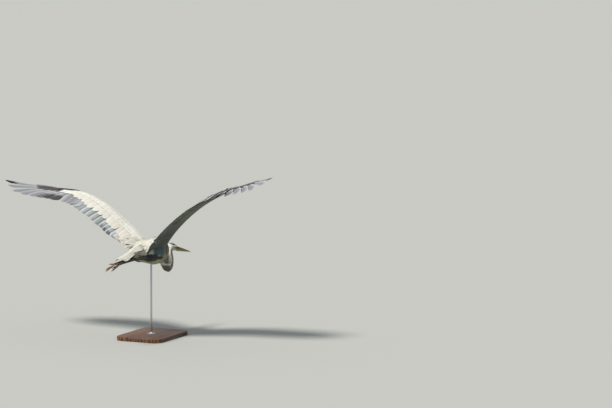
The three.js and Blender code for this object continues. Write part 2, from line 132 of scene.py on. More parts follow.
# oiled walnut: growth rings cut lengthways as long dark figures, 8 to 20 mm apart, with fine pores 3 mm long
walnut = material("oiled_walnut", Roughness=0.42, Specular_IOR_Level=0.45)
place = add(walnut, "TexCoord", {}).outputs["Object"]
drawn_out = add(walnut, "Mapping", {"Vector": place, "Scale": (1.0, 0.09, 1.0), "Rotation": (0, 0, 0.04)})
figure = add(walnut, "TexNoise", {"Vector": drawn_out, "Scale": 26, "Detail": 5, "Distortion": 0.7})
rings = add(walnut, "TexWave", {"Vector": drawn_out, "Scale": 17, "Distortion": 9, "Detail": 3, "Detail Scale": 1.6},
            bands_direction="X")
both = add(walnut, "Math", {0: figure, 1: rings.outputs[1]}, operation="ADD")
halved = add(walnut, "Math", {0: both, 1: 0.5}, operation="MULTIPLY")
wood = ramp(walnut, halved, [(0.2, "#2E1B10"), (0.45, "#54341F"), (0.62, "#6B4529"), (0.85, "#7F5838")])
pore_map = add(walnut, "Mapping", {"Vector": place, "Scale": (1.0, 0.06, 1.0)})
pores = add(walnut, "TexNoise", {"Vector": pore_map, "Scale": 900, "Detail": 2})
dark_pores = add(walnut, "MapRange", {"Value": pores, "From Min": 0.3, "From Max": 0.45, "To Min": 0.72})
finished(walnut, wood, dark_pores, pores, 0.12, 0.0004)

bm = bmesh.new()
bmesh.ops.create_cube(bm, size=1, matrix=Matrix.Translation((0, 0, BOARD[2] / 2)) @ Matrix.Diagonal((*BOARD, 1)))
upright = [e for e in bm.edges if abs(e.verts[0].co.z - e.verts[1].co.z) > 0.01]
bmesh.ops.bevel(bm, geom=upright, offset=BOARD_CORNER, affect="EDGES", segments=14, profile=0.5, material=-1)
level = [e for e in bm.edges if abs(e.calc_face_angle(0)) > 1.0]
bmesh.ops.bevel(bm, geom=level, offset=BOARD_EDGE, affect="EDGES", segments=4, profile=0.5, material=-1)
piece("stand_board", bm, walnut, "stand_wood", "stand_base")

# ---------------------------------------------------------------- stand: rod and flange
# A bright steel rod, 10 mm thick, runs from the board up into the bird's belly.
# A turned steel flange 44 mm across, held by three countersunk screws, clamps it to the board.
ROD_RADIUS, ROD_AT, ROD_LOW, ROD_HIGH, ROD_RIM = 0.005, -0.010, 0.008, 0.400, 0.0006
FLANGE_RADIUS, FLANGE_LOW, FLANGE_HEIGHT = 0.022, 0.02035, 0.006
SCREWS, SCREW_CIRCLE, SCREW_RADIUS, SCREW_HEIGHT, SCREW_UP = 3, 0.0150, 0.0026, 0.0016, 0.0034
SCREW_SLOT = (0.0044, 0.0007, 0.0018)

# brushed stainless steel: fine lines round the rod and flange soften its reflections
steel = material("brushed_stainless_steel", Metallic=1.0, Base_Color=linear("#C3C5C7"), Roughness=0.3)
place = add(steel, "TexCoord", {}).outputs["Object"]
lines = add(steel, "Mapping", {"Vector": place, "Scale": (1, 1, 40)})
brushing = add(steel, "TexNoise", {"Vector": lines, "Scale": 60, "Detail": 3})
rough = add(steel, "MapRange", {"Value": brushing, "To Min": 0.22, "To Max": 0.4})
line_bump = add(steel, "Bump", {"Height": brushing, "Strength": 0.08, "Distance": 0.0002})
to_surface(steel, Roughness=rough, Normal=line_bump)

bm = bmesh.new()
bmesh.ops.create_cone(bm, cap_ends=True, segments=40, radius1=ROD_RADIUS, radius2=ROD_RADIUS,
                      depth=ROD_HIGH - ROD_LOW, matrix=Matrix.Translation((0, ROD_AT, (ROD_LOW + ROD_HIGH) / 2)))
rims = [e for e in bm.edges if abs(e.verts[0].co.z - e.verts[1].co.z) < 1e-6]
bmesh.ops.bevel(bm, geom=rims, offset=ROD_RIM, affect="EDGES", segments=2, profile=0.5, material=-1)
piece("stand_upright", bm, steel, "stand_steel", "stand_rod")

bm = bmesh.new()
inner, low, high = ROD_RADIUS + 0.0003, FLANGE_LOW, FLANGE_LOW + FLANGE_HEIGHT
turned = [(inner, low), (FLANGE_RADIUS, low), (FLANGE_RADIUS, low + 0.0014), (FLANGE_RADIUS - 0.0012, low + 0.0026),
          (0.0108, low + 0.0036), (0.0088, low + 0.0046), (0.0082, high - 0.0006), (0.0074, high), (inner, high)]
profile = [bm.verts.new((r, ROD_AT, z)) for r, z in turned]
edges = [bm.edges.new(pair) for pair in zip(profile, profile[1:] + profile[:1])]
bmesh.ops.spin(bm, geom=profile + edges, cent=(0, ROD_AT, 0), axis=(0, 0, 1), angle=2 * pi, steps=56, use_merge=True)
for i in range(SCREWS):
    turn = radians(90 + 360 / SCREWS * i)
    at = Matrix.Translation((SCREW_CIRCLE * cos(turn), ROD_AT + SCREW_CIRCLE * sin(turn), low + SCREW_UP))
    bmesh.ops.create_cone(bm, cap_ends=True, segments=20, radius1=SCREW_RADIUS, radius2=SCREW_RADIUS * 0.8,
                          depth=SCREW_HEIGHT, matrix=at)
    bmesh.ops.create_cube(bm, size=1, matrix=at @ Matrix.Rotation(turn, 4, "Z") @ Matrix.Diagonal((*SCREW_SLOT, 1)))
bmesh.ops.recalc_face_normals(bm, faces=bm.faces)
collar = piece("stand_collar", bm, steel, "stand_steel", "stand_flange")
collar.data.polygons.foreach_set("use_smooth", [False] * len(collar.data.polygons))

# ---------------------------------------------------------------- pose of the bird
# The bird hangs level over the board with its right wing a little high. Its parts are measured in millimetres
# from the middle of the trunk, Y towards the bill and Z up, and posed() puts them in place over the board.
BANK, FLYING_HEIGHT = 4.2, 0.420


def posed(points):
    """Points of the bird, or a stack of them, in metres over the board."""
    x, y, z = np.moveaxis(np.asarray(points, float) * 0.001, -1, 0)
    c, s = cos(radians(BANK)), sin(radians(BANK))
    return np.stack([x * c - z * s, y, x * s + z * c + FLYING_HEIGHT], -1)


def unposed(points):
    """The same the other way round."""
    x, y, z = np.moveaxis(np.asarray(points, float) * 1000, -1, 0)
    z = z - 1000 * FLYING_HEIGHT
    c, s = cos(radians(BANK)), sin(radians(BANK))
    return np.stack([x * c + z * s, y, z * c - x * s], -1)


def turned_with_bird(directions):
    return (posed(directions) - posed([0, 0, 0])) * 1000


def between(table, places):
    """Values read from a table of (place, value) rows."""
    table = np.asarray(table, float)
    return np.interp(places, table[:, 0], table[:, 1])


def unit(vectors):
    return vectors / np.maximum(np.linalg.norm(vectors, axis=-1, keepdims=True), 1e-12)


def smooth(low, high, value):
    """A soft step from 0 at low to 1 at high, which may lie either way."""
    t = np.clip((np.asarray(value, float) - low) / (high - low), 0, 1)
    return t * t * (3 - 2 * t)


def band(value, from_low, to_high, from_high, to_low):
    """A soft step up and, further on, down again."""
    return smooth(from_low, to_high, value) * smooth(to_low, from_high, value)


def run_along(line):
    """How far along a line each of its points lies."""
    return np.concatenate([[0], np.cumsum(np.linalg.norm(np.diff(line, axis=0), axis=1))])


def read_off(places, run, table):
    """Points, directions or colours at places along the run of a table of them."""
    return np.stack([np.interp(places, run, table[:, k]) for k in range(3)], -1)


# ---------------------------------------------------------------- neck and head lines
# The neck is folded back on itself in an S, with the head drawn in over the breast and turned a little right.
# The front of the neck is the outside of the loop, and the feathers on it run from the head down to the trunk.
NECK_LINE = [(0, 55, 16), (0, 95, -14), (1, 123, -54), (3, 147, -91), (6, 170, -82), (7, 181, -52), (7, 177, -18),
             (6, 182, 5)]
HEAD_AT, HEAD_YAW, HEAD_PITCH = (9, 205, 3), 11, 15


def flowing(points, steps):
    """A smooth line through points, evenly sampled."""
    p = np.array([2 * np.array(points[0]) - points[1], *points, 2 * np.array(points[-1]) - points[-2]], float)
    line = []
    for a, b, c, d in zip(p, p[1:], p[2:], p[3:]):
        for t in np.linspace(0, 1, 24, endpoint=False):
            line.append(0.5 * (2 * b + (c - a) * t + (2 * a - 5 * b + 4 * c - d) * t**2
                               + (3 * b - a - 3 * c + d) * t**3))
    line = np.array([*line, p[-2]])
    run = run_along(line)
    return read_off(np.linspace(0, run[-1], steps), run, line)


neck_line = flowing(NECK_LINE, 120)
neck_along = unit(np.gradient(neck_line, axis=0))
neck_front = unit(np.cross(neck_along, [1.0, 0, 0]))
head_turn = np.array(Matrix.Rotation(radians(-HEAD_YAW), 3, "Z") @ Matrix.Rotation(radians(-HEAD_PITCH), 3, "X"))


def on_neck(points):
    """The share of the way up the neck of points of the bird, their angle round it from the throat, and its way."""
    nearest = np.array([((neck_line - p) ** 2).sum(1).argmin() for p in points])
    away = points - neck_line[nearest]
    front = (away * neck_front[nearest]).sum(1)
    side = (away * np.cross(neck_front[nearest], neck_along[nearest])).sum(1)
    return nearest / (len(neck_line) - 1), np.degrees(np.arctan2(side, front)), neck_along[nearest]


def in_head(points):
    return (points - HEAD_AT) @ head_turn


def of_head(points):
    return np.asarray(points, float) @ head_turn.T + HEAD_AT


# ---------------------------------------------------------------- markings
# The colours of the plumage by place on the bird, worn by the skin and by every feather over it: creamy back and
# wing, pale grey-green flanks, black bands along the belly, white cheeks and throat, black brow, and a foreneck with
# a pale stripe between broken black lines, turned to the right where the neck is twisted.
TRUNK, NECK, HEAD, THIGH, WING = range(5)
NECK_TWIST = 156
BAND_HEM = [[-235, 18], [-166, 8], [-120, 4], [-90, 0], [-40, -8]]
CREAM, CREAM_GREY, RUMP, WING_CREAM = "#D3D0C4", "#B4B5AC", "#CBC9BD", "#E6E4DA"
AXILLA_SHADE, FLANK, BAND, BELLY, BREAST, BREAST_OLIVE = "#475A60", "#9AA08E", "#16140F", "#A6AA84", "#61644D", "#8A9270"
THROAT, STREAK, NECK_SIDE, NECK_BACK = "#F1E8D4", "#1B1816", "#B9B2A0", "#66665A"
CHEEK, CHEEK_SHADE, CROWN_SHADE, BROW, LORE, GAPE_SHADE = "#EDEBDF", "#A3A99A", "#6C7073", "#0E0D0D", "#2E2D1C", "#3A3722"
WING_DARK, HAND_GREY, SHANK_DARK = "#2B2426", "#9DA0A2", "#33312A"
# the pale colour of the underwing's front edge is painted light
# the underwing colours are the bird's own dark grey, made darker still as painted shade
UNDERWING, UNDER_OLIVE, UNDER_FRONT, UNDER_EDGE_LIGHT = "#414A3F", "#545C44", "#2B3027", "#8C8B7C"


def rgb(code):
    return np.array(linear(code)[:3])


def plain(code, *size):
    """One colour all over an array of places."""
    return np.tile(rgb(code), (*size, 1))


def painted(colours, *coats):
    """Colours with (code, share) coats laid over them in turn, each by a share from 0 to 1."""
    for code, share in coats:
        share = np.clip(share, 0, 1)[..., None]
        colours = colours * (1 - share) + rgb(code) * share
    return colours


def ripple(points, size):
    """A smooth unevenness from -1 to 1 that varies over about size millimetres."""
    x, y, z = np.moveaxis(points / size, -1, 0)
    return (np.sin(2.1 * x + 1.3 * y) + np.sin(1.7 * y - 2.3 * z + 1) + np.sin(2.9 * z + 1.1 * x + 2)) / 3


def trunk_marks(p):
    x, y, z = np.moveaxis(p, -1, 0)
    side = np.degrees(np.arctan2(z - 14 - 8 * smooth(-90, -180, y) + 4 * ripple(p, 14), np.abs(x) + 1e-6))
    hem = z + 3 * ripple(p, 12) - between(BAND_HEM, y)
    low_side = smooth(50, 34, side)
    front = smooth(18, 46, y) * low_side
    # under the wing root the trunk turns slate: partly the grey of the axillaries, partly painted shade under the wing
    armpit_shade = smooth(-90, -62, y) * low_side * smooth(-30, -18, side + 0.12 * y) * smooth(46, 18, y)
    return painted(plain(CREAM, len(p)),
                   (RUMP, smooth(-60, -150, y) * 0.7),
                   (CREAM_GREY, smooth(0.1, 0.6, ripple(p * (2, 0.4, 1) + 5, 8)) * 0.5),
                   (CREAM_GREY, smooth(50, 22, side) * 0.5),
                   (FLANK, smooth(16, 2, hem) * 0.95),
                   (AXILLA_SHADE, armpit_shade),
                   (BREAST, np.maximum(smooth(-20, -32, side) * smooth(-40, 0, y), front)),
                   (BREAST_OLIVE, smooth(0, 24, y) * smooth(2, -16, z) * 0.85),
                   (STREAK, front * smooth(0.1, 0.5, ripple(p * (1, 0.5, 1.5) + 3, 6)) * 0.75),
                   (BAND, smooth(1, -7, hem) * smooth(-60, -50, side) * smooth(26, 0, y)),
                   (BELLY, smooth(-40, -52, side) * smooth(60, 20, y)),
                   (BAND, smooth(94, 106, y) * smooth(30, 20, np.abs(side - 8))))


def neck_marks(p):
    share, angle = on_neck(p)[:2]
    twist = NECK_TWIST * band(share, 0.34, 0.56, 0.96, 1.06)
    angle = np.abs((angle - twist + 180) % 360 - 180) + 5 * ripple(p, 9)
    broken = np.maximum(smooth(-0.75, -0.25, ripple(p * (1, 1, 1.4) + 31, 5.5)), 0.6)
    dashes = smooth(0.60, 0.42, share) * smooth(0.10, 0.45, ripple(p * (1.5, 1, 1) + 11, 4.5))
    return painted(plain(THROAT, len(p)),
                   (NECK_SIDE, smooth(32, 46, angle)),
                   (NECK_BACK, smooth(50, 70, angle)),
                   (STREAK, band(angle, 24, 30, 46, 56) * broken * smooth(1.02, 0.94, share)),
                   (STREAK, smooth(9, 5, angle) * band(share, 0.52, 0.58, 0.70, 0.80) * 0.9),
                   (STREAK, dashes * 0.85))


def gape_height(y):
    """The line on which the mouth parts, run back from the bill to below the eye."""
    return -0.3 - 3.4 * smooth(31, 9, y)


def head_marks(p):
    x, y, z = np.moveaxis(in_head(p), -1, 0)
    beside, far_side = smooth(4, 6, np.abs(x)), smooth(5, 8, np.abs(x))
    brow = smooth(9.5, 12, z - 0.05 * (12 - y)) * smooth(20.5, 18, z) * smooth(5.5, 8, np.abs(x)) * band(y, -26, -20, 18, 26)
    lore = smooth(14, 17, y) * smooth(7.5, 5.5, np.abs(z - 2.5)) * beside
    behind_eye = band(y, -4, 2, 13, 16) * smooth(4.2, 2.6, np.abs(z - 0.4 - 0.2 * y)) * far_side * 0.8
    return painted(plain(CHEEK, len(p)),
                   # painted shade: the white lower cheek and face greyed as if in shadow
                   (CHEEK_SHADE, smooth(-24, -14, y) * band(z, -11, -8, 6, 9) * 0.85),
                   # painted shade: the white crown drawn grey as if in shadow
                   (CROWN_SHADE, smooth(13, 17, z)),
                   (BROW, brow),
                   (LORE, np.maximum(lore, behind_eye)),
                   # painted shade: a dark line along the crease where the mouth parts
                   (GAPE_SHADE, smooth(1.6, 0.8, np.abs(z - gape_height(y))) * smooth(6, 9, y) * beside))


def thigh_marks(p):
    return painted(plain(BAND, len(p)),
                   (BELLY, smooth(-26, -36, p[:, 2] + 3 * ripple(p, 10))),
                   (SHANK_DARK, smooth(-120, -165, p[:, 1]) * 0.8))


def wing_plan_marks(x, y, below):
    """By the distance out along the front edge of the wing and back from it, above or below."""
    uneven = 10 * np.sin(x / 17) + 6 * np.sin(x / 7.3 + y / 9)
    hand = smooth(524, 544, x + 0.6 * y + 0.6 * uneven)
    rear = np.maximum(smooth(52, 74, y + uneven * 0.5 - 0.5 * np.clip(560 - x, 0, 60)), smooth(598, 634, x))
    over = painted(plain(WING_CREAM, *np.shape(x)), (CREAM, smooth(40, 120, y) * 0.5), (WING_DARK, hand),
                   (HAND_GREY, hand * rear))
    # under the wing: the bird's own dark grey, made darker still as painted shade
    arm, back = smooth(70, 200, x), y + uneven * 0.4
    under = painted(plain(UNDERWING, *np.shape(x)), (UNDER_OLIVE, arm * smooth(30, 55, back)),
                    # a pale band along the front edge of the underside: painted light over the shadow on that rim
                    (UNDER_FRONT, arm * smooth(50, 30, back) * 0.8), (UNDER_EDGE_LIGHT, smooth(10, 4, y)))
    return np.where(np.asarray(below)[..., None], under, over)


# ---------------------------------------------------------------- wing shape
# Both wings are raised, with the arm lifting steeply and the hand spread flat, the left hand bent down more at the
# wrist. The quills stand side by side along the rear of arm and hand, and everything on a wing is placed by its
# distance out along the front edge, in the frame of the right wing. WING_POSE has dihedral, sweep and incidence.
SHOULDER = (46, 68, 32)
WING_POSE = {-1: ([[0, 50], [120, 41.5], [240, 41], [365, 29], [480, 10.5], [620, 13.5], [820, 19.5]],
                  [[0, 10.5], [180, 1.5], [365, -2.5], [500, -14], [650, -14.5], [820, -29.5]],
                  [[0, 1.5], [365, 5], [550, 3.5], [820, 8]]),
             1: ([[0, 55.8], [120, 43.1], [240, 34.4], [365, 24.4], [480, 16.7], [620, 18.9], [820, 10.7]],
                 [[0, 9.4], [180, 1.9], [365, -6.8], [500, -12.1], [650, -12.5], [820, -37.2]],
                 [[0, 4.5], [200, 3.3], [365, 2.4], [550, 2.8], [820, 13.2]])}
CAMBER = {-1: [[0, 12.5], [200, 19.5], [365, 18.5], [520, 15.5], [820, -5]],
          1: [[0, 11.9], [120, 11.6], [240, 9.6], [365, 7.5], [480, 17], [600, 7.3], [820, -10.3]]}
CHORD, EDGE_STEP, WING_SPAN = 270, 5.0, 850
QUILL_X = [[-1, 8], [5, 158], [15, 430], [16, 446], [25, 578]]
QUILL_Y = [[-1, 44], [5, 74], [15, 22], [16, 20], [25, 6]]
QUILL_ANGLE = [[-1, -17], [5, -8.5], [10, 0.5], [15, 7], [16, 8.5], [20, 37], [25, 83.5]]
QUILL_LENGTH = [[-1, 177], [0, 195], [1, 195], [2, 188], [5, 188], [15, 228], [16, 234], [19, 232], [21, 258],
                [23, 303], [24, 295], [25, 277]]
COVERED = 0.36
FINGER_LIFT = 7
LEAD_X = [[-1, -16], [0, 10], [5, 148], [15, 428], [16, 444], [25, 640]]
HALF_THICKNESS = [[-1, 11.5], [5, 9.6], [10, 8.1], [15, 6.6], [19, 4.6], [25, 2.3]]
PLAN_STEP = 6.0


def wing_frame(x, side):
    """Directions of a side's wing at x, unmirrored: along the front edge, back across it and up out of it."""
    lift, sweep, pitch = (np.radians(between(table, x)) for table in WING_POSE[side])
    along = np.stack([np.cos(lift) * np.cos(sweep), np.sin(sweep), np.sin(lift) * np.cos(sweep)], -1)
    level = unit(np.array([0, -1.0, 0]) + along * along[..., 1:2])
    rise = np.cross(level, along)
    back = level * np.cos(pitch)[..., None] - rise * np.sin(pitch)[..., None]
    return along, back, np.cross(back, along)


edge_x = np.arange(0, WING_SPAN + 1, EDGE_STEP)
edge_at = {}
for side in (-1, 1):
    steps_out = EDGE_STEP * wing_frame(edge_x[1:] - EDGE_STEP / 2, side)[0]
    edge_at[side] = np.cumsum(np.concatenate([[SHOULDER], steps_out]), axis=0)


def wing_point(x, y, h, side):
    """Points of a side's wing, unmirrored, at x out along the front edge, y back from it and h over the quills."""
    along, back, up = wing_frame(x, side)
    held = np.clip(x, 0, WING_SPAN)
    edge = read_off(held, edge_x, edge_at[side]) + along * (x - held)[..., None]
    raised = h + between(CAMBER[side], x) * 4 * y * (CHORD - y) / CHORD**2
    return edge + back * y[..., None] + up * raised[..., None]


quill_steps = np.linspace(-1, 25.3, 140)
quill_turns = np.radians(between(QUILL_ANGLE, quill_steps))
quill_feet = between(QUILL_LENGTH, quill_steps) * COVERED
flesh_rear_x = between(QUILL_X, quill_steps) + quill_feet * np.sin(quill_turns)
flesh_rear_y = between(QUILL_Y, quill_steps) + quill_feet * np.cos(quill_turns)


def flesh_height(x, y):
    """Half the thickness of arm and hand at a place of the wing, or of the vanes behind them."""
    lead = between(LEAD_X, quill_steps)
    off = np.abs(lead + (flesh_rear_x - lead) * (y[..., None] / flesh_rear_y) - x[..., None])
    nearest = off.argmin(-1)
    back = np.clip(y / flesh_rear_y[nearest], 0, 1)
    swell = 2.5 * np.sqrt(back + 0.02) * (1 - back)
    return between(HALF_THICKNESS, quill_steps[nearest]) * swell + 1.2 * back


def grid_tree(points, upward=False):
    """A search tree over the cells of a grid of points, whose faces may be turned upward."""
    rows, columns = points.shape[:2]
    corner_steps = (0, columns, columns + 1, 1) if upward else (0, 1, columns + 1, columns)
    cells = [[i * columns + j + step for step in corner_steps] for i in range(rows - 1) for j in range(columns - 1)]
    return BVHTree.FromPolygons([Vector(p) for p in points.reshape(-1, 3)], cells)


plan_x, plan_y = np.meshgrid(np.arange(-20, 665, PLAN_STEP), np.arange(-6, 136, PLAN_STEP), indexing="ij")
plan_trees = {side: grid_tree(wing_point(plan_x, plan_y, 0 * plan_x, side)) for side in (-1, 1)}


def plan_place(points):
    """Distances out along and back from the front edge, and the height above it, of points of either wing."""
    places = np.empty((len(points), 3))
    for side, tree in plan_trees.items():
        here = (points[:, 0] < 0) == (side < 0)
        p = points[here] * (side, 1, 1)
        cells = np.array([tree.find_nearest(Vector(spot))[2] for spot in p], int)
        i, j = np.divmod(cells, plan_x.shape[1] - 1)
        x, y = plan_x[i, j] + PLAN_STEP / 2, plan_y[i, j] + PLAN_STEP / 2
        away = p - wing_point(x, y, 0 * x, side)
        along, back, up = wing_frame(x, side)
        places[here] = np.stack([x + (away * along).sum(1), y + (away * back).sum(1), (away * up).sum(1)], -1)
    return places


def is_above(x, y, height):
    """Whether places of a wing show its upper side, which rolls over the front edge, most near the body."""
    return height > -(1 + 4 * smooth(420, 150, x)) * smooth(26, 6, y)


def wing_marks(points):
    x, y, height = plan_place(points).T
    return wing_plan_marks(x, y, ~is_above(x, y, height))


TRACT_MARKS = {TRUNK: trunk_marks, NECK: neck_marks, HEAD: head_marks, THIGH: thigh_marks, WING: wing_marks}


def markings(points, tracts):
    """The colour of the plumage at points of the bird, each in a tract."""
    colours = np.zeros((len(points), 3))
    for tract, marks in TRACT_MARKS.items():
        here = tracts == tract
        if here.any():
            colours[here] = marks(points[here])
    return colours


# ---------------------------------------------------------------- skin
# One skin covers the trunk, neck, head, wings and thighs, as far under the tips of the feathers as the coat
# is deep. Round each eye it rises to the lids, and before the eye it lies bare as the lores.
COAT_DEPTH = {TRUNK: 3.4, NECK: 1.6, HEAD: 1.1, THIGH: 2.6, WING: 1.6}
SKIN_STEP, NODE_GAP, THIN_PART = 0.0030, 0.0006, 0.4
EYE_AT, EYE_RADIUS, LID_ANGLE = np.array([10.2, 12.0, 7.5]), 6.4, 46
GAZE = unit(np.array([0.94, 0.32, -0.08]))
LID_REACH, LID_BEAD, LID_CREASES = 9.5, 0.55, 26
LID_SKIN = "#A79A4E"

FLESH = {"trunk": TRUNK, "neck_lower": NECK, "neck_upper": NECK, "head": HEAD}
for side_name in ("left", "right"):
    FLESH |= {f"wing_arm_{side_name}": WING, f"wing_hand_{side_name}": WING, f"thigh_{side_name}": THIGH}


def soft(bm, factor):
    bmesh.ops.smooth_vert(bm, verts=bm.verts, factor=factor, use_axis_x=True, use_axis_y=True, use_axis_z=True)


def fused(bm, voxel):
    """The parts of a bmesh, which is used up, as one closed surface."""
    rough_form = placed("rough_form", bm)
    remesh = rough_form.modifiers.new("one_surface", "REMESH")
    remesh.mode, remesh.voxel_size = "VOXEL", voxel
    made = bmesh.new()
    made.from_mesh(rough_form.evaluated_get(bpy.context.evaluated_depsgraph_get()).data)
    bpy.data.objects.remove(rough_form)
    return made


def points_of(bm):
    return np.array([v.co for v in bm.verts])


def set_points(bm, points):
    for v, p in zip(bm.verts, points):
        v.co = p


def tinted(ob, colours):
    """Stores colours on an object's points, for its material to read."""
    layer = ob.data.attributes.new("tint", "FLOAT_COLOR", "POINT")
    layer.data.foreach_set("color", np.c_[colours, np.ones(len(colours))].astype(np.float32).ravel())


def from_eye(local, side):
    """The gaze of an eye, and how far points of the head lie along it and off it."""
    gaze = GAZE * (side, 1, 1)
    away = local - EYE_AT * (side, 1, 1)
    forth = away @ gaze
    return gaze, forth, np.linalg.norm(away - forth[:, None] * gaze, axis=1)


corners, triangles, tract_of_triangle = [], [], []
bm = bmesh.new()
for node_name, tract in FLESH.items():
    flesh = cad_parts[node_name].data
    bm.from_mesh(flesh)
    triangles += [[len(corners) + i for i in p.vertices] for p in flesh.polygons]
    tract_of_triangle += [tract] * len(flesh.polygons)
    corners += [v.co.copy() for v in flesh.vertices]
flesh_tree = BVHTree.FromPolygons(corners, triangles)
bmesh.ops.remove_doubles(bm, verts=bm.verts, dist=1e-6)
bm.normal_update()
for v in bm.verts:
    v.co += v.normal * NODE_GAP
bm = fused(bm, SKIN_STEP)
for _ in range(5):
    soft(bm, 0.5)

# the head is cut finer, and the face finer again, for the lids and the corner of the mouth
for back_from, cuts in ((-40, 2), (0, 1)):
    bm.verts.ensure_lookup_table()
    local = in_head(unposed(points_of(bm)))
    near_head = (local[:, 1] > back_from) & (np.abs(local[:, 0]) < 24) & (local[:, 2] > -20)
    fine = [e for e in bm.edges if near_head[e.verts[0].index] and near_head[e.verts[1].index]]
    bmesh.ops.subdivide_edges(bm, edges=fine, cuts=cuts, use_grid_fill=True, smooth=0.6)
    bm.verts.index_update()
bm.normal_update()
bm.verts.ensure_lookup_table()

# the surface sinks by the depth of the coat, or less where the body is thin, with soft changes between tracts
walls = BVHTree.FromBMesh(bm)
at = points_of(bm)
outward = np.array([v.normal for v in bm.verts])
tracts = np.array([tract_of_triangle[flesh_tree.find_nearest(p)[2]] for p in at])
depth = np.array([COAT_DEPTH[t] for t in tracts]) * 0.001
for i, (p, n) in enumerate(zip(at, outward)):
    through = walls.ray_cast(Vector(p - n * 0.0002), Vector(-n), 0.03)[3]
    if through is not None:
        depth[i] = min(depth[i], THIN_PART * through)
pairs = np.array([(e.verts[0].index, e.verts[1].index) for e in bm.edges])
for _ in range(8):
    total, count = depth.copy(), np.ones(len(depth))
    for a, b in ((0, 1), (1, 0)):
        np.add.at(total, pairs[:, a], depth[pairs[:, b]])
        np.add.at(count, pairs[:, a], 1)
    depth = total / count
at = unposed(at - outward * (depth + NODE_GAP)[:, None])

# the face: a hollow from eye to nostril, the line of the mouth, and a rise to the lids round each eye
local = in_head(at)
on_head = (tracts == HEAD) & (local[:, 1] > -36)
sides = np.sign(local[:, 0])
hollow = smooth(14, 19, local[:, 1]) * smooth(4.4, 1.5, np.abs(local[:, 2] - 4.6)) * smooth(3, 5, np.abs(local[:, 0]))
parting = (smooth(1.3, 0.2, np.abs(local[:, 2] - gape_height(local[:, 1]))) * smooth(8, 12, local[:, 1])
           * smooth(4, 6, np.abs(local[:, 0])))
local[:, 0] -= sides * (1.1 * hollow + 0.8 * parting) * on_head
for side in (-1, 1):
    gaze, forth, off_axis = from_eye(local, side)
    rim = (EYE_RADIUS + 0.2) * sin(radians(LID_ANGLE))
    rise = (EYE_RADIUS + 0.1) * cos(radians(LID_ANGLE))
    facing = (forth > -2) & (off_axis < LID_REACH) & (local[:, 0] * side > 0)
    share = smooth(LID_REACH, rim + 0.3, off_axis) * facing
    raised = np.where(off_axis < rim - 0.15, 1.0, forth + (rise - forth) * share)
    local += np.where(facing, raised - forth, 0)[:, None] * gaze
at = np.where(on_head[:, None], of_head(local), at)
set_points(bm, posed(at))
bm.normal_update()

# lids: a bare creased rim of skin round each eye, a little longer than high
lid_across = (EYE_RADIUS + 0.15) * sin(radians(LID_ANGLE))
lid_height = (EYE_RADIUS + 0.15) * cos(radians(LID_ANGLE)) + 0.15
for side in (-1, 1):
    ring = bmesh.ops.create_circle(bm, segments=10, radius=LID_BEAD)["verts"]
    turn_up = Matrix.Translation((lid_across, 0, 0)) @ Matrix.Rotation(pi / 2, 4, "X")
    bmesh.ops.transform(bm, matrix=turn_up, verts=ring)
    geom = ring + list({e for v in ring for e in v.link_edges})
    before = set(bm.verts) - set(ring)
    bmesh.ops.spin(bm, geom=geom, cent=(0, 0, 0), axis=(0, 0, 1), angle=2 * pi, steps=48, use_merge=True)
    gaze = Vector(GAZE * (side, 1, 1))
    upright = (Vector((0, 0, 1)) - gaze * gaze.z).normalized()
    ahead = upright.cross(gaze)
    for v in [v for v in bm.verts if v not in before]:
        x, y, z = v.co
        creased = 1 + 0.012 * sin(LID_CREASES * atan2(y, x))
        spot = EYE_AT * (side, 1, 1) + np.array(ahead * (x * 1.05) + upright * (y * 0.96)) * creased
        v.co = posed(of_head(spot + np.array(gaze) * (z + lid_height)))
bmesh.ops.recalc_face_normals(bm, faces=bm.faces)

# skin with down: matt, a little uneven, coloured as the feathers over it, also on the bare lids and lores
skin_stuff = material("downy_skin", Roughness=0.7, Sheen_Weight=0.15)
tint = add(skin_stuff, "Attribute", {}, attribute_name="tint")
place = add(skin_stuff, "TexCoord", {}).outputs["Object"]
down = add(skin_stuff, "TexNoise", {"Vector": place, "Scale": 900, "Detail": 3})
shade = add(skin_stuff, "MapRange", {"Value": down, "To Min": 0.72, "To Max": 1.1})
finished(skin_stuff, tint, shade, down, 0.35, 0.0004)

skin = piece("heron_skin", bm, skin_stuff, "plumage_pale", *FLESH)
skin_at = np.empty(len(skin.data.vertices) * 3)
skin.data.vertices.foreach_get("co", skin_at)
skin_at = skin_at.reshape(-1, 3)
tracts = np.concatenate([tracts, np.full(len(skin_at) - len(tracts), HEAD)])
of_wing = tracts == WING
wing_root = np.zeros(len(tracts), bool)
wing_root[of_wing] = plan_place(unposed(skin_at[of_wing]))[:, 0] < 14
tracts[wing_root] = TRUNK
tints = markings(unposed(skin_at), tracts)
tints[len(at):] = rgb(LID_SKIN)
tinted(skin, tints)

# ---------------------------------------------------------------- eyes
# Each eye is a clear hard ball, 13 mm across, with a yellow iris and a black pupil, set deep between the lids.
# The wet cornea stands out over the pupil and takes a small sharp highlight.
CORNEA_RISE, CORNEA_EDGE = 0.05, 0.42

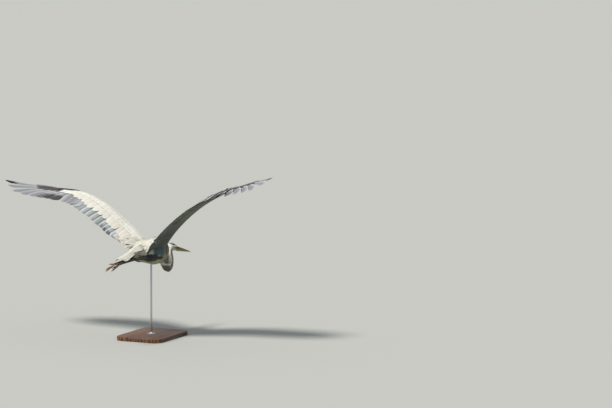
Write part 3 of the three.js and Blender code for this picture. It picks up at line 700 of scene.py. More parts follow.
# wet eye: the ramp runs from the pupil out over the iris by the angle from the line of sight
eye_stuff = material("wet_yellow_eye", Roughness=0.1, IOR=1.34, Coat_Weight=0.5, Coat_Roughness=0.02)
sight = add(eye_stuff, "Attribute", {}, attribute_name="sight")
place = add(eye_stuff, "TexCoord", {}).outputs["Object"]
flecks = add(eye_stuff, "TexNoise", {"Vector": place, "Scale": 2400, "Detail": 2})
strewn = add(eye_stuff, "MapRange", {"Value": flecks, "To Min": -0.015, "To Max": 0.015})
angle = add(eye_stuff, "Math", {0: sight.outputs["Fac"], 1: strewn}, operation="ADD")
iris = ramp(eye_stuff, angle, [(0.0, "#030303"), (0.20, "#030303"), (0.22, "#8F6510"), (0.28, "#EBC02B"),
                               (0.45, "#E0AE20"), (0.50, "#6B4810"), (0.53, "#0E0B09")])
to_surface(eye_stuff, Base_Color=iris)
for side, side_name in ((-1, "left"), (1, "right")):
    bm = bmesh.new()
    bmesh.ops.create_uvsphere(bm, u_segments=40, v_segments=44, radius=EYE_RADIUS)
    angles = [v.co.angle(Vector((0, 0, 1))) / (pi / 2) for v in bm.verts]
    for v, a in zip(bm.verts, angles):
        v.co *= 1 + CORNEA_RISE * float(smooth(CORNEA_EDGE, 0.0, a))
    gaze = Vector(GAZE * (side, 1, 1))
    bmesh.ops.transform(bm, matrix=gaze.to_track_quat("Z", "Y").to_matrix().to_4x4(), verts=bm.verts)
    set_points(bm, posed(of_head(points_of(bm) + EYE_AT * (side, 1, 1))))
    eye = piece(f"eyeball_{side_name}", bm, eye_stuff, "eye", f"eye_{side_name}")
    layer = eye.data.attributes.new("sight", "FLOAT", "POINT")
    layer.data.foreach_set("value", angles)

# ---------------------------------------------------------------- bill
# A long dagger of horn over bone in two halves, 126 mm long. A groove runs forward from the slit nostril. The
# upper half is blackish brown turning dusky yellow, and the lower half is dull yellow with a greenish root.
BILL_FROM, BILL_ROOT, BILL_TO = 16, 27, 153
BILL_HALF_WIDTH, BILL_HEIGHT = 8.8, 12.5
GROOVE_HEIGHT, NOSTRIL = 0.50, (0.075, 0.15)
BILL_COLOURS = {"upper": [(0.0, "#241817"), (0.22, "#3C2A20"), (0.45, "#574220"), (0.75, "#6F5824"), (1.0, "#B9A560")],
                "lower": [(0.0, "#6F7038"), (0.18, "#7C7636"), (0.45, "#86702F"), (0.8, "#7E662B"), (1.0, "#C2B074")]}
# the groove and slit colours are painted shade in the nasal groove and the nostril
RIDGE, GROOVE, SLIT, CUTTING_EDGE, LOWER_KEEL = "#1D1112", "#2A1714", "#080505", "#8F7436", "#6B6A3A"


def tube(segments, cuts):
    """A closed tube of unit radius along Z from 0 to 1, in rings, for reshaping."""
    made = bmesh.new()
    bmesh.ops.create_cone(made, cap_ends=True, segments=segments, radius1=1, radius2=1, depth=1,
                          matrix=Matrix.Translation((0, 0, 0.5)))
    sides = [e for e in made.edges if abs(e.verts[0].co.z - e.verts[1].co.z) > 0.5]
    bmesh.ops.subdivide_edges(made, edges=sides, cuts=cuts)
    return made


def hump(value, middle, width):
    return np.exp(-(((value - middle) / width) ** 2))


# horn: satin, with faint lengthways streaks 1 mm wide
bill_stuff = material("bill_horn_over_bone", Roughness=0.38, Specular_IOR_Level=0.5, Coat_Weight=0.12,
                      Coat_Roughness=0.2)
tint = add(bill_stuff, "Attribute", {}, attribute_name="tint")
place = add(bill_stuff, "TexCoord", {}).outputs["Object"]
streak_map = add(bill_stuff, "Mapping", {"Vector": place, "Rotation": (0, 0, radians(HEAD_YAW)), "Scale": (1, 0.06, 1)})
streaks = add(bill_stuff, "TexNoise", {"Vector": streak_map, "Scale": 700, "Detail": 4})
worn = add(bill_stuff, "MapRange", {"Value": streaks, "From Min": 0.25, "From Max": 0.75, "To Min": 0.78,
                                    "To Max": 1.14})
finished(bill_stuff, tint, worn, streaks, 0.2, 0.0003)

for half, sign in (("upper", 1), ("lower", -1)):
    bm = tube(48, 120)
    runs, ups = [], []
    for v in bm.verts:
        run, turn = v.co.z, atan2(v.co.y, v.co.x)
        y = BILL_FROM + (BILL_TO - BILL_FROM) * run
        t = max(0.0, (y - BILL_ROOT) / (BILL_TO - BILL_ROOT))
        taper = 0.03 + 0.97 * (1 - t) ** 0.80
        root = float(smooth(BILL_FROM - 6, BILL_ROOT + 6, y))
        up, out = max(0.0, sin(turn)), cos(turn)
        wide = BILL_HALF_WIDTH * taper * root * abs(out) ** (1.0 + 0.3 * up) * (1 if out > 0 else -1)
        high = BILL_HEIGHT * taper * (0.7 + 0.3 * root) * up**0.85
        if sign > 0:
            wide *= 1 - 0.15 * float(band(t, 0.0, 0.05, 0.45, 0.75)) * hump(up, GROOVE_HEIGHT, 0.13)
            in_slit = band(t, NOSTRIL[0], NOSTRIL[0] + 0.015, NOSTRIL[1] - 0.02, NOSTRIL[1])
            wide *= 1 - 0.30 * float(in_slit * smooth(0.085, 0.03, abs(up - GROOVE_HEIGHT)))
        else:
            wide *= 1 - 0.08 * float(smooth(0.0, 0.1, t)) * hump(up, 0.6, 0.2)
        z = sign * (0.12 + high) - (1.2 if sign > 0 else 0.7) * t**6
        v.co = posed(of_head([wide, y, z]))
        runs.append(t)
        ups.append(up)
    bmesh.ops.recalc_face_normals(bm, faces=bm.faces)
    bill = piece(f"bill_{half}_horn", bm, bill_stuff, "horn_bill", f"bill_{half}")
    runs, ups = np.array(runs), np.array(ups)
    places, codes = zip(*BILL_COLOURS[half])
    colours = read_off(runs, places, np.array([rgb(code) for code in codes]))
    if sign > 0:
        # painted shade: the upper half darkens in the nasal groove, and the nostril slit is painted black, over the
        # dents of the shape
        slit = smooth(0.10, 0.04, np.abs(ups - GROOVE_HEIGHT))
        colours = painted(
            colours, (RIDGE, smooth(0.62, 1.0, ups) * smooth(0.95, 0.5, runs) * 0.8),
            (GROOVE, hump(ups, GROOVE_HEIGHT, 0.12) * smooth(0.75, 0.4, runs) * 0.45),
            (SLIT, slit * band(runs, NOSTRIL[0], NOSTRIL[0] + 0.012, NOSTRIL[1] - 0.015, NOSTRIL[1])),
            (CUTTING_EDGE, smooth(0.2, 0.0, ups) * smooth(0.05, 0.25, runs) * 0.5))
    else:
        colours = painted(colours, (LOWER_KEEL, smooth(0.7, 1.0, ups) * smooth(0.5, 0.1, runs) * 0.5))
    tinted(bill, colours)

# ---------------------------------------------------------------- legs and feet
# Bare lower thighs, heels, tarsi and four toes a side trail behind the tail with the soles up. The scaled hide
# has broad scutes down the tarsus and over each toe, small round scales elsewhere, and padded soles.
HIP, BOW, HEEL, TOES_AT = (np.array(p) for p in ((30, -40, -10), (30, -130, -6), (22, -215, 1), (14, -376, -2)))
BARE_FROM, TOE_BALL, HIDE_STEP = 0.62, 6.1, 0.6
THIGH_RADIUS = [[0, 27], [0.3, 23], [0.6, 13], [0.85, 7.6], [1, 6]]
TARSUS_RADIUS = [[0, 7], [0.06, 6.9], [0.14, 5], [0.85, 4.6], [0.95, 5.4], [1, 5.6]]
TOES = {"hind": (2, -9, 48, 3.7), "inner": (-4.5, 10, 66, 3.7), "middle": (1, 15.5, 88, 4), "outer": (6.5, 13, 76, 3.7)}
KNUCKLES = [[0, 1.15], [0.3, 0.8], [0.38, 1], [0.62, 0.72], [0.7, 0.88], [1, 0.6]]
CLAW_LENGTH, CLAW_RADIUS, CLAW_HOOK = 15, 2, 5
HIDE, TARSUS_HIDE, SUNLIT_SOLES, HEEL_HIDE = "#2F2C20", "#201F19", "#D79B6C", "#6E553A"

# scaled hide: dark olive above, warmer in the seams, and orange on the toes where they face up, partly painted
# sunlight, with round scales about 1.5 mm across
leg_stuff = material("scaled_leg_hide", Roughness=0.5, Specular_IOR_Level=0.5)
tint = add(leg_stuff, "Attribute", {}, attribute_name="tint")
place = add(leg_stuff, "TexCoord", {}).outputs["Object"]
scales = add(leg_stuff, "TexVoronoi", {"Vector": place, "Scale": 620}, feature="DISTANCE_TO_EDGE")
seams = add(leg_stuff, "MapRange", {"Value": scales, "From Max": 0.12, "To Min": 0.62, "To Max": 1.05})
finished(leg_stuff, tint, seams, seams, 0.5, 0.0004)

# claw horn: glossy and nearly black, browner where it is worn
claw_stuff = material("dark_claw_horn", Base_Color=linear("#1F1A17"), Roughness=0.33, Coat_Weight=0.2)
place = add(claw_stuff, "TexCoord", {}).outputs["Object"]
worn = add(claw_stuff, "TexNoise", {"Vector": place, "Scale": 500, "Detail": 3})
to_surface(claw_stuff, Base_Color=ramp(claw_stuff, worn, [(0.3, "#15110F"), (0.7, "#3A302A")]))


def tube_along(line, radius, segments, cuts, flat=1.1, scutes=0.0, pitch=3.0):
    """A closed tube along a line of the bird's points, with raised scutes on its upper side."""
    run = run_along(line)
    forward = unit(np.gradient(line, axis=0))
    made = tube(segments, cuts)
    for v in made.verts:
        x, y, t = v.co
        reach = t * run[-1]
        ahead = unit(read_off(reach, run, forward))
        side = unit(np.array([1.0, 0, 0]) - ahead * ahead[0])
        up = np.cross(side, ahead)
        r = radius(t)
        plate = scutes * float(smooth(0.1, 0.5, abs(y))) * (float(smooth(0, 0.25, (reach / pitch) % 1)) - 0.6)
        v.co = read_off(reach, run, line) + side * x * (r + plate) + up * y * (r * flat + plate)
    return made


def curved(start, bend, end, t):
    """Points at shares t of a curve that leaves start towards bend and arrives at end."""
    return (1 - t) ** 2 * start + 2 * t * (1 - t) * bend + t**2 * end


def toe_line(splay, down, length):
    """The line of a toe in three lengths, each bent a little."""
    points = [TOES_AT + (0.0, -2, 0)]
    for share, part in ((1, 0.35), (0.75, 0.35), (0.9, 0.3)):
        way = np.array([sin(radians(splay * share)), -1, -np.tan(radians(down)) * share])
        points.append(points[-1] + way / np.linalg.norm(way) * length * part)
    return flowing(points, 40)


def joined(target, other):
    spare = bpy.data.meshes.new("spare")
    other.to_mesh(spare)
    other.free()
    target.from_mesh(spare)
    bpy.data.meshes.remove(spare)


def put_on_side(bm, points, side):
    """Puts a bmesh in place at points of the right side, mirrored for the left."""
    set_points(bm, posed(points * (side, 1, 1)))
    if side < 0:
        bmesh.ops.reverse_faces(bm, faces=bm.faces)


t = np.linspace(BARE_FROM, 1, 20)[:, None]
shank_line = np.concatenate([curved(HIP, BOW, HEEL, t)[:-1], np.linspace(HEEL, TOES_AT, 60)])
shank_run = run_along(shank_line)
heel_share = shank_run[len(t) - 1] / shank_run[-1]


def shank_radius(share):
    if share < heel_share:
        thigh_share = BARE_FROM + (1 - BARE_FROM) * share / heel_share
        return float(between(THIGH_RADIUS, thigh_share)) * 0.8 if thigh_share < 0.9 else 5.6
    return float(between(TARSUS_RADIUS, (share - heel_share) / (1 - heel_share))) * 0.97


for side, side_name in ((-1, "left"), (1, "right")):
    leg = tube_along(shank_line, shank_radius, 20, 150, 1.12, scutes=0.5, pitch=4.6)
    for splay, down, length, radius in TOES.values():
        toe = tube_along(toe_line(splay, down, length),
                         lambda s: float(between(KNUCKLES, s)) * radius * (1 if s < 0.96 else 0.8), 16, 70, 1.0,
                         scutes=0.45, pitch=3.3)
        joined(leg, toe)
    bmesh.ops.create_uvsphere(leg, u_segments=20, v_segments=14, radius=TOE_BALL,
                              matrix=Matrix.Translation(TOES_AT) @ Matrix.Diagonal((1, 1.1, 0.9, 1)))
    bm = fused(leg, HIDE_STEP)
    soft(bm, 0.3)
    bm.normal_update()
    bare = points_of(bm)
    behind = bare[:, 1]
    facing_up = np.array([v.normal.z for v in bm.verts])
    # the toes' own orange shows only where they face up, as painted sunlight, and much fainter on the right foot, as
    # painted shade
    sunlit_soles = smooth(-360, -374, behind) * smooth(0.0, 0.5, facing_up) * smooth(-0.7, -0.2, ripple(bare, 9))
    sunlit_soles *= (1 - 0.7 * smooth(-416, -440, behind)) * (0.3 if side > 0 else 1)
    hide_tints = painted(plain(HIDE, len(bare)), (TARSUS_HIDE, smooth(-180, -300, behind)),
                         (SUNLIT_SOLES, sunlit_soles * 0.95),
                         (HEEL_HIDE, smooth(9, 4, np.linalg.norm(bare - HEEL, axis=1)) * 0.5))
    put_on_side(bm, bare, side)
    shank = piece(f"leg_{side_name}", bm, leg_stuff, "skin_leg", f"tarsus_{side_name}", f"foot_{side_name}")
    tinted(shank, hide_tints)

    # claws: curved black horn, one at the end of each toe
    s = np.linspace(0, 1, 16)[:, None]
    for toe_name, (splay, down, length, radius) in TOES.items():
        line = toe_line(splay, down, length)
        root, way = line[-2], unit(line[-1] - line[-3])
        bend, tip = root + way * CLAW_LENGTH * 0.6, root + way * CLAW_LENGTH + (0, 0, -CLAW_HOOK)
        hook = curved(root - way * 1.5, bend, tip, s)
        bm = tube_along(hook, lambda q: CLAW_RADIUS * 0.9 * (1 - 0.9 * q**1.3), 12, 14, 1.2)
        put_on_side(bm, points_of(bm), side)
        piece(f"claw_{toe_name}_{side_name}_horn", bm, claw_stuff, "horn_claw", f"claw_{toe_name}_{side_name}")

# ---------------------------------------------------------------- feathers
# Every feather is a thin closed vane with a raised shaft, a little arched, laid from its root along the coat.
# Its colour comes from the markings at its root, darker in the down at its foot and paler along its edges.

# plumage: barbs run out from the shaft at about 40 degrees, 0.4 mm apart; drawn at 1 mm so that they show
plumage = material("soft_body_plumage", Roughness=0.75, Sheen_Weight=0.2, Sheen_Roughness=0.4, Specular_IOR_Level=0.25)
flight = material("stiff_flight_feather", Roughness=0.58, Sheen_Weight=0.1, Sheen_Roughness=0.4,
                  Specular_IOR_Level=0.25)
for stuff, barb_depth in ((plumage, 0.10), (flight, 0.12)):
    tint = add(stuff, "Attribute", {}, attribute_name="tint")
    vane = add(stuff, "UVMap", {}, uv_map="vane")
    split = add(stuff, "SeparateXYZ", {"Vector": vane})
    outward_share = add(stuff, "Math", {0: split}, operation="ABSOLUTE")
    slant = add(stuff, "Math", {0: outward_share, 1: -1.2, 2: split.outputs[1]}, operation="MULTIPLY_ADD")
    barb_place = add(stuff, "CombineXYZ", {"X": slant, "Y": split})
    fine_map = add(stuff, "Mapping", {"Vector": barb_place, "Scale": (1.0, 0.10, 1)})
    fine_barbs = add(stuff, "TexNoise", {"Vector": fine_map, "Scale": 1.0, "Detail": 2})
    loose_map = add(stuff, "Mapping", {"Vector": barb_place, "Scale": (0.30, 0.04, 1)})
    loose = add(stuff, "TexNoise", {"Vector": loose_map, "Scale": 1.0, "Detail": 3})
    lines = add(stuff, "Math", {0: fine_barbs, 1: loose}, operation="ADD")
    shade = add(stuff, "MapRange", {"Value": lines, "From Min": 0.7, "From Max": 1.3,
                                    "To Min": 1 - barb_depth * 1.5, "To Max": 1 + barb_depth * 0.7})
    finished(stuff, tint, shade, lines, 0.25, 0.0004)


def vanes(name, slot, stuff, centre, up, widths, columns, rib, arch, thick, top, under, cells, tilt=0.0, side=1,
          nodes=()):
    """One mesh of closed vanes. centre and up are points and directions of the bird by feather and row, widths the half
    widths on the two sides of the shaft, top and under the colours by feather, row and column, and cells the places of
    the upper and under sides in the baking map. Side -1 mirrors it all."""
    along = unit(np.gradient(centre, axis=1))
    across = unit(np.cross(along, up))
    up = np.cross(across, along)
    n, rows, cols = len(centre), centre.shape[1], len(columns)
    rib, arch = np.broadcast_to(rib, (n, rows)), np.broadcast_to(arch, (n, rows))
    width = np.where(columns < 0, widths[0][..., None], widths[1][..., None])
    offset = columns * width
    lift = rib[..., None] * (1 - np.abs(columns)) ** 2 - arch[..., None] * columns**2 * width - tilt * offset
    upper = centre[:, :, None] + across[:, :, None] * offset[..., None] + up[:, :, None] * lift[..., None]
    body = np.full((rows, cols), thick)
    body[0] = body[-1] = 0
    body[:, 0] = body[:, -1] = 0
    lower = upper - up[:, :, None] * body[None, :, :, None]
    points = posed(np.concatenate([upper.reshape(-1, 3), lower.reshape(-1, 3)]) * (side, 1, 1))
    grid = np.arange(n * rows * cols).reshape(n, rows, cols)
    quads = np.stack([grid[:, :-1, :-1], grid[:, :-1, 1:], grid[:, 1:, 1:], grid[:, 1:, :-1]], -1).reshape(-1, 4)
    quads = quads[:, ::side]
    quads = np.concatenate([quads, quads[:, ::-1] + n * rows * cols])
    mesh = bpy.data.meshes.new(name)
    mesh.vertices.add(len(points))
    mesh.vertices.foreach_set("co", points.astype(np.float32).ravel())
    mesh.loops.add(quads.size)
    mesh.loops.foreach_set("vertex_index", quads.astype(np.int32).ravel())
    mesh.polygons.add(len(quads))
    mesh.polygons.foreach_set("loop_start", np.arange(0, quads.size, 4, dtype=np.int32))
    mesh.update(calc_edges=True)
    run = np.concatenate([np.zeros((n, 1)), np.cumsum(np.linalg.norm(np.diff(centre, axis=1), axis=2), axis=1)], 1)
    uneven = (np.arange(n) * 37.7 % 101)[:, None, None]
    vane_uv = np.stack([offset, np.broadcast_to(run[..., None], offset.shape) + uneven], -1).reshape(-1, 2)
    share = np.broadcast_to((run / run[:, -1:])[..., None], offset.shape)
    bake_uv = [np.stack([cell[:, 0, None, None] + cell[:, 2, None, None] * (columns / 2 + 0.5 + 0 * share),
                         cell[:, 1, None, None] + cell[:, 3, None, None] * share], -1).reshape(-1, 2)
               for cell in np.moveaxis(np.broadcast_to(cells, (n, 2, 4)), 1, 0)]
    for layer_name, flat in (("vane", np.concatenate([vane_uv, vane_uv])), ("OFBake", np.concatenate(bake_uv))):
        layer = mesh.uv_layers.new(name=layer_name)
        layer.data.foreach_set("uv", flat[quads.ravel()].astype(np.float32).ravel())
    ob = bpy.data.objects.new(name, mesh)
    scene.collection.objects.link(ob)
    tinted(ob, np.concatenate([top.reshape(-1, 3), under.reshape(-1, 3)]))
    return finish_piece(ob, stuff, slot, *nodes)


def islands(n):
    """Places in the baking map for the upper and under sides of n large feathers, side by side."""
    across = int(np.ceil(np.sqrt(2 * n * 3)))
    down = int(np.ceil(2 * n / across))
    k = np.arange(2 * n).reshape(n, 2)
    return np.stack([(k % across + 0.06) / across, (k // across + 0.04) / down, 0 * k + 0.88 / across,
                     0 * k + 0.92 / down], -1)


def tufts_at(places):
    """Small patches of the baking map, 0.003 across, at places on the skin's own unwrap."""
    cell = np.concatenate([np.clip(places, 0.002, 0.995) - 0.0015, np.full((len(places), 2), 0.003)], 1)
    return cell[:, None, :]


def shaded_vanes(base, shares, columns, edge="#F2EEE6", edge_share=0.25, foot=0.7, shaft=None, shaft_share=0.0):
    """Colours over each vane from one colour a feather, with a darker foot and other edges and shaft."""
    t, u = np.asarray(shares)[:, None], np.abs(columns)[None, :]
    rim = np.maximum(smooth(0.6, 1.0, u) * smooth(0.2, 0.6, t), smooth(0.82, 1.0, t) + 0 * u) * edge_share
    tone = foot + (1 - foot) * smooth(0.1, 0.75, t + 0 * u)
    c = painted(base[:, None, None, :] * tone[None, :, :, None], (edge, rim))
    return painted(c, (shaft, smooth(0.14, 0.05, u) * shaft_share)) if shaft else c


def frayed(widths, shares, luck, often=0.08, deepest=0.4):
    """Half widths with rows drawn in here and there, where the barbs have parted."""
    parted = (luck.random(widths.shape) < often) & (np.asarray(shares) > 0.3)
    return widths * (1 - parted * luck.uniform(0.05, deepest, widths.shape))


# ---------------------------------------------------------------- flight feathers
# Tertials, secondaries and primaries: long stiff feathers, each with a narrow outer and a broad inner vane. Each
# overlaps the next one out from above. The outer primaries are drawn in past the middle and part into fingers.
FLIGHT_COLUMNS = np.array([-1, -0.6, -0.15, -0.04, 0, 0.03, 0.1, 0.32, 0.55, 0.8, 1.0])
FLIGHT_SHARES = np.concatenate([np.linspace(0.1, 0.9, 33), [0.92, 0.94, 0.955, 0.97, 0.98, 0.99, 0.996, 1.0]])
# the undersides of the flight feathers: the bird's own dark grey, made darker still as painted shade
VANE_UNDER, VANE_UNDER_INNER, SHAFT_UNDER, SHAFT = "#1F241F", "#30362E", "#73756B", "#2A2629"
OVER_SKIN, MOST_OVER, PROBE_HEIGHT = 0.9, 9, 30.0

skin_tree = BVHTree.FromPolygons([Vector(p) for p in skin_at], [list(p.vertices) for p in skin.data.polygons])


def skin_height(x, y, side, sign):
    """How far the skin stands out over the quills, above or below, at places of a wing."""
    start = posed(wing_point(x, y, sign * PROBE_HEIGHT + 0 * x, side) * (side, 1, 1))
    inward = turned_with_bird(wing_frame(x, side)[2] * (side, 1, 1)) * -sign
    heights = np.full(x.shape, -50.0)
    for place in np.ndindex(x.shape):
        found = skin_tree.ray_cast(Vector(start[place]), Vector(inward[place]), 0.035)[3]
        if found is not None:
            heights[place] = PROBE_HEIGHT - 1000 * found
    return heights


def wing_feathers(name, slot, stuff, feathers, shares, columns, widths, top, under, below=False, nodes=(), rib=0.5,
                  thick=0.4, tilt=0.05, bend=0.0, on_flesh=True, seed=1, jitter=1.0):
    """Feathers on both wings. feathers has a row each: root x and y, angle out, length, height at the root and at
    the tip over the flesh, and how far the tip lifts. widths are half widths by outer or inner side, feather and row."""
    sign = -1 if below else 1
    x0, y0, angle0, length0, low, high, lifted = (feathers[:, k, None] for k in range(7))
    for side_name, side in (("right", 1), ("left", -1)):
        luck = np.random.default_rng(seed + (side < 0))
        angle = angle0 + luck.normal(0, 0.8 * jitter, angle0.shape)
        length = length0 * (1 + luck.normal(0, 0.012 * jitter, length0.shape))
        turn = np.radians(angle) - bend * shares**2
        x = x0 + length * shares * np.sin(turn)
        y = y0 + length * shares * np.cos(turn)
        over = 0.0
        if on_flesh:
            over = flesh_height(x, np.maximum(y, 0))
            over = np.clip(skin_height(x, y, side, sign) + OVER_SKIN, over, over + MOST_OVER)
        h = sign * (over + low + (high - low) * shares**0.8) + lifted * np.maximum(0, (shares - 0.5) / 0.5) ** 2
        centre = wing_point(x, y, h + luck.normal(0, 0.12 * jitter, length.shape), side)
        up = sign * wing_frame(x, side)[2]
        half_widths = frayed(widths, shares, luck, 0.07, 0.2)[::sign]
        vanes(f"{name}_{side_name}", slot, stuff, centre, up, half_widths, columns, rib * np.clip(1.15 - shares, 0.1, 1),
              0.05 * np.clip(shares * 4, 0, 1), thick, top, under, islands(len(feathers)), tilt=sign * tilt, side=side,
              nodes=[n.format(side_name) for n in nodes])


def flight_widths(outer, inner, drawn_in):
    t = FLIGHT_SHARES
    foot = 0.1 + 0.9 * smooth(0.0, 0.18, t)
    notch = 1 - np.asarray(drawn_in)[:, None] * smooth(0.40, 0.56, t)
    sides = []
    for width, blunt_from in ((outer, 0.90), (inner, 0.85)):
        blunt = np.sqrt(np.clip(1 - (np.clip(t - blunt_from, 0, 1) / (1.0 - blunt_from)) ** 2, 0.0009, 1))
        sides.append(np.asarray(width)[:, None] * foot * blunt * notch)
    return np.stack(sides)


def flight_colours(quills, base, shadowed_inner, edge, edge_share, marks, lighten):
    """Colours above and below, by feather, row and column: darker towards the inner edge, which the next one hides, as
    painted shadow of that one.
    """
    luck = np.random.default_rng(4)
    t, u, q = FLIGHT_SHARES[None, :, None], FLIGHT_COLUMNS[None, None, :], quills[:, None, None]
    size = (len(quills), len(FLIGHT_SHARES), len(FLIGHT_COLUMNS))
    shaft = smooth(0.07, 0.02, np.abs(u))
    above = plain(base, *size) * (1 + lighten * (luck.random(len(quills)) - 0.5))[:, None, None, None]
    above = painted(above, (shadowed_inner, smooth(0.14, 0.32, u) * (0.95 - 0.4 * smooth(0.4, 0.7, u))),
                    (edge, (smooth(-0.3, -1.0, u) + smooth(0.975, 1.0, t) * 0.7) * edge_share),
                    *marks(t, u, q), (SHAFT, shaft * 0.6))
    return above, painted(plain(VANE_UNDER, *size), (VANE_UNDER_INNER, smooth(0.3, 0.9, u)), (SHAFT_UNDER, shaft * 0.5))


def tertial_marks(t, u, q):
    """A pale wash on the innermost, and dark tips on two of them. u, across the vane, isn't used."""
    return (("#D3D1C7", smooth(3.6, 2.8, q)), ("#2A2428", smooth(0.94, 0.99, t) * band(q, 1.3, 2.2, 2.8, 3.4) * 0.95))


def secondary_marks(t, u, q):
    """Slate ends on the inner ones, and paler outer ones."""
    return (("#3C3F44", smooth(0.80, 0.9, t) * band(q, 4.4, 5.2, 6.6, 7.6) * smooth(-0.9, -0.2, u) * 0.8),
            ("#C3C8C9", smooth(12.5, 14.5, q) * 0.6))


def primary_marks(t, u, q):
    """Pale feet on the inner ones as painted sheen, a dark patch near the ends of the third to fifth, and a black front
    edge.
    """
    patch = band(q, 17.2, 18.0, 19.7, 20.4) * smooth(0.62, 0.74, t)
    return (("#B9BBBC", smooth(0.45, 0.25, t) * smooth(21, 19, q) * 0.7),
            ("#2F292A", patch * (0.9 - 0.5 * smooth(0.2, -0.6, u) * smooth(0.85, 0.7, t))),
            ("#7F8084", smooth(0.55, 0.85, t) * smooth(20.5, 21.5, q) * 0.35),
            ("#17141A", smooth(24.2, 24.8, q) * smooth(0.72, 0.88, t)))


# by kind: slot, first and last quill, half widths of the outer and inner vane and how far the end is drawn in, by
# quill; the colours of the vane, its inner part darkened as painted shadow of the next feather, and its edge, the
# edge's share, marks, unevenness, seed and bend
FLIGHT_SETS = {
    "tertial": ("plumage_pale", -1, 4, [[0, 13]], [[0, 28]], [[0, 0]],
                ("#B9C0C3", "#6E757A", "#D5D9D9", 0.6, tertial_marks, 0.10), 21, 0.0),
    "secondary": ("plumage_grey", 5, 15, [[0, 12]], [[0, 34]], [[0, 0]],
                  ("#B0B6B6", "#73787A", "#CDD1CF", 0.6, secondary_marks, 0.22), 23, 0.0),
    # the primaries' pale grey is their own darker grey lightened by painted sheen
    "primary": ("plumage_dark", 16, 25, [[16, 12], [20, 12], [25, 9]], [[16, 38], [20, 38], [25, 30]],
                [[19, 0], [20, 0.04], [21, 0.10], [25, 0.32]],
                ("#A7A9AC", "#77777C", "#C6C8CA", 0.5, primary_marks, 0.10), 25, 0.03)}
FLIGHT_NODES = {"tertial": "tertials_{}", "secondary": "secondaries_{}", "primary": "primaries_{}"}
for kind, (slot, first, last, outer, inner, drawn_in, colours, seed, bend) in FLIGHT_SETS.items():
    q = np.arange(first, last + 1)
    rows = [between(table, q) for table in (QUILL_X, QUILL_Y, QUILL_ANGLE, QUILL_LENGTH)]
    feathers = np.stack([*rows, 0.0 * q, 0.0 * q, smooth(18, 25, q) * FINGER_LIFT], -1)
    wing_feathers(f"{kind}_vanes", slot, flight, feathers, FLIGHT_SHARES, FLIGHT_COLUMNS,
                  flight_widths(between(outer, q), between(inner, q), between(drawn_in, q)),
                  *flight_colours(q, *colours), nodes=[FLIGHT_NODES[kind]], on_flesh=False, seed=seed, bend=bend)

# ---------------------------------------------------------------- greater and median coverts, alula
# Softer feathers roof the feet of the flight feathers in rows, above and below: creamy over the arm, blackish
# over the hand and on the bastard wing at the wrist, slate under the wing, made darker there as painted shade.
COVERT_COLUMNS = np.array([-1, -0.6, -0.1, 0, 0.1, 0.6, 1.0])
COVERT_SHARES = np.array([0, 0.1, 0.2, 0.3, 0.4, 0.5, 0.6, 0.69, 0.77, 0.84, 0.9, 0.95, 0.985, 1.0])
GREATER = [[-1, 0.82], [2, 0.84], [3, 0.80], [5, 0.72], [7, 0.70], [10, 0.68], [13, 0.66], [15, 0.60], [16, 0.52],
           [20, 0.46], [25, 0.44]]
GREATER_HALF = [[15, 16], [17, 12.5], [25, 9]]
MEDIAN_HALF = [[0, 10], [15, 9.5], [17, 7.5], [25, 5]]
# by row: quills from, to and by; share of their length, times a factor; half width; height of root and tip;
# nearness to the front edge; below the wing; seed
COVERT_ROWS = {
    "greater_coverts": ((-1, 26, 1), GREATER, 1, GREATER_HALF, -0.6, 1.5, 1.0, False, 31),
    "median_coverts": ((-0.9, 25, 0.5), [[0, 0.40], [15, 0.30], [25, 0.20]], 1, MEDIAN_HALF, -1.0, 1.7, 0.86, False, 33),
    "small_median_coverts": ((-0.7, 25, 0.42), [[0, 0.31], [15, 0.24], [25, 0.15]], 1,
                             [[0, 8.5], [15, 8], [17, 6.5], [25, 4.5]], -1.2, 1.6, 0.66, False, 35),
    "greater_underwing": ((-1, 26, 1), GREATER, 0.80, GREATER_HALF, -0.6, 1.2, 1.0, True, 37),
    "median_underwing": ((-0.9, 25, 0.5), [[0, 0.34], [15, 0.26], [25, 0.18]], 1, MEDIAN_HALF, -1.0, 1.4, 0.84, True, 39),
    "axillaries": ((-0.8, 5, 0.6), [[0, 0.62]], 1, [[0, 12]], -0.4, 2.0, 0.7, True, 43)}
ALULA = np.array([[474, 10, 66, 112, 0.5, 5.0, 1], [466, 12, 58, 92, 0.5, 5.8, 1], [460, 15, 50, 70, 0.5, 6.6, 1]])


def covert_widths(halves):
    t = COVERT_SHARES
    blunt = np.sqrt(np.clip(1 - (np.clip(t - 0.62, 0, 1) / 0.385) ** 2, 0.0016, 1))
    return np.stack([np.asarray(halves)[:, None] * ((smooth(-0.05, 0.3, t) * 0.8 + 0.2) * blunt)] * 2)


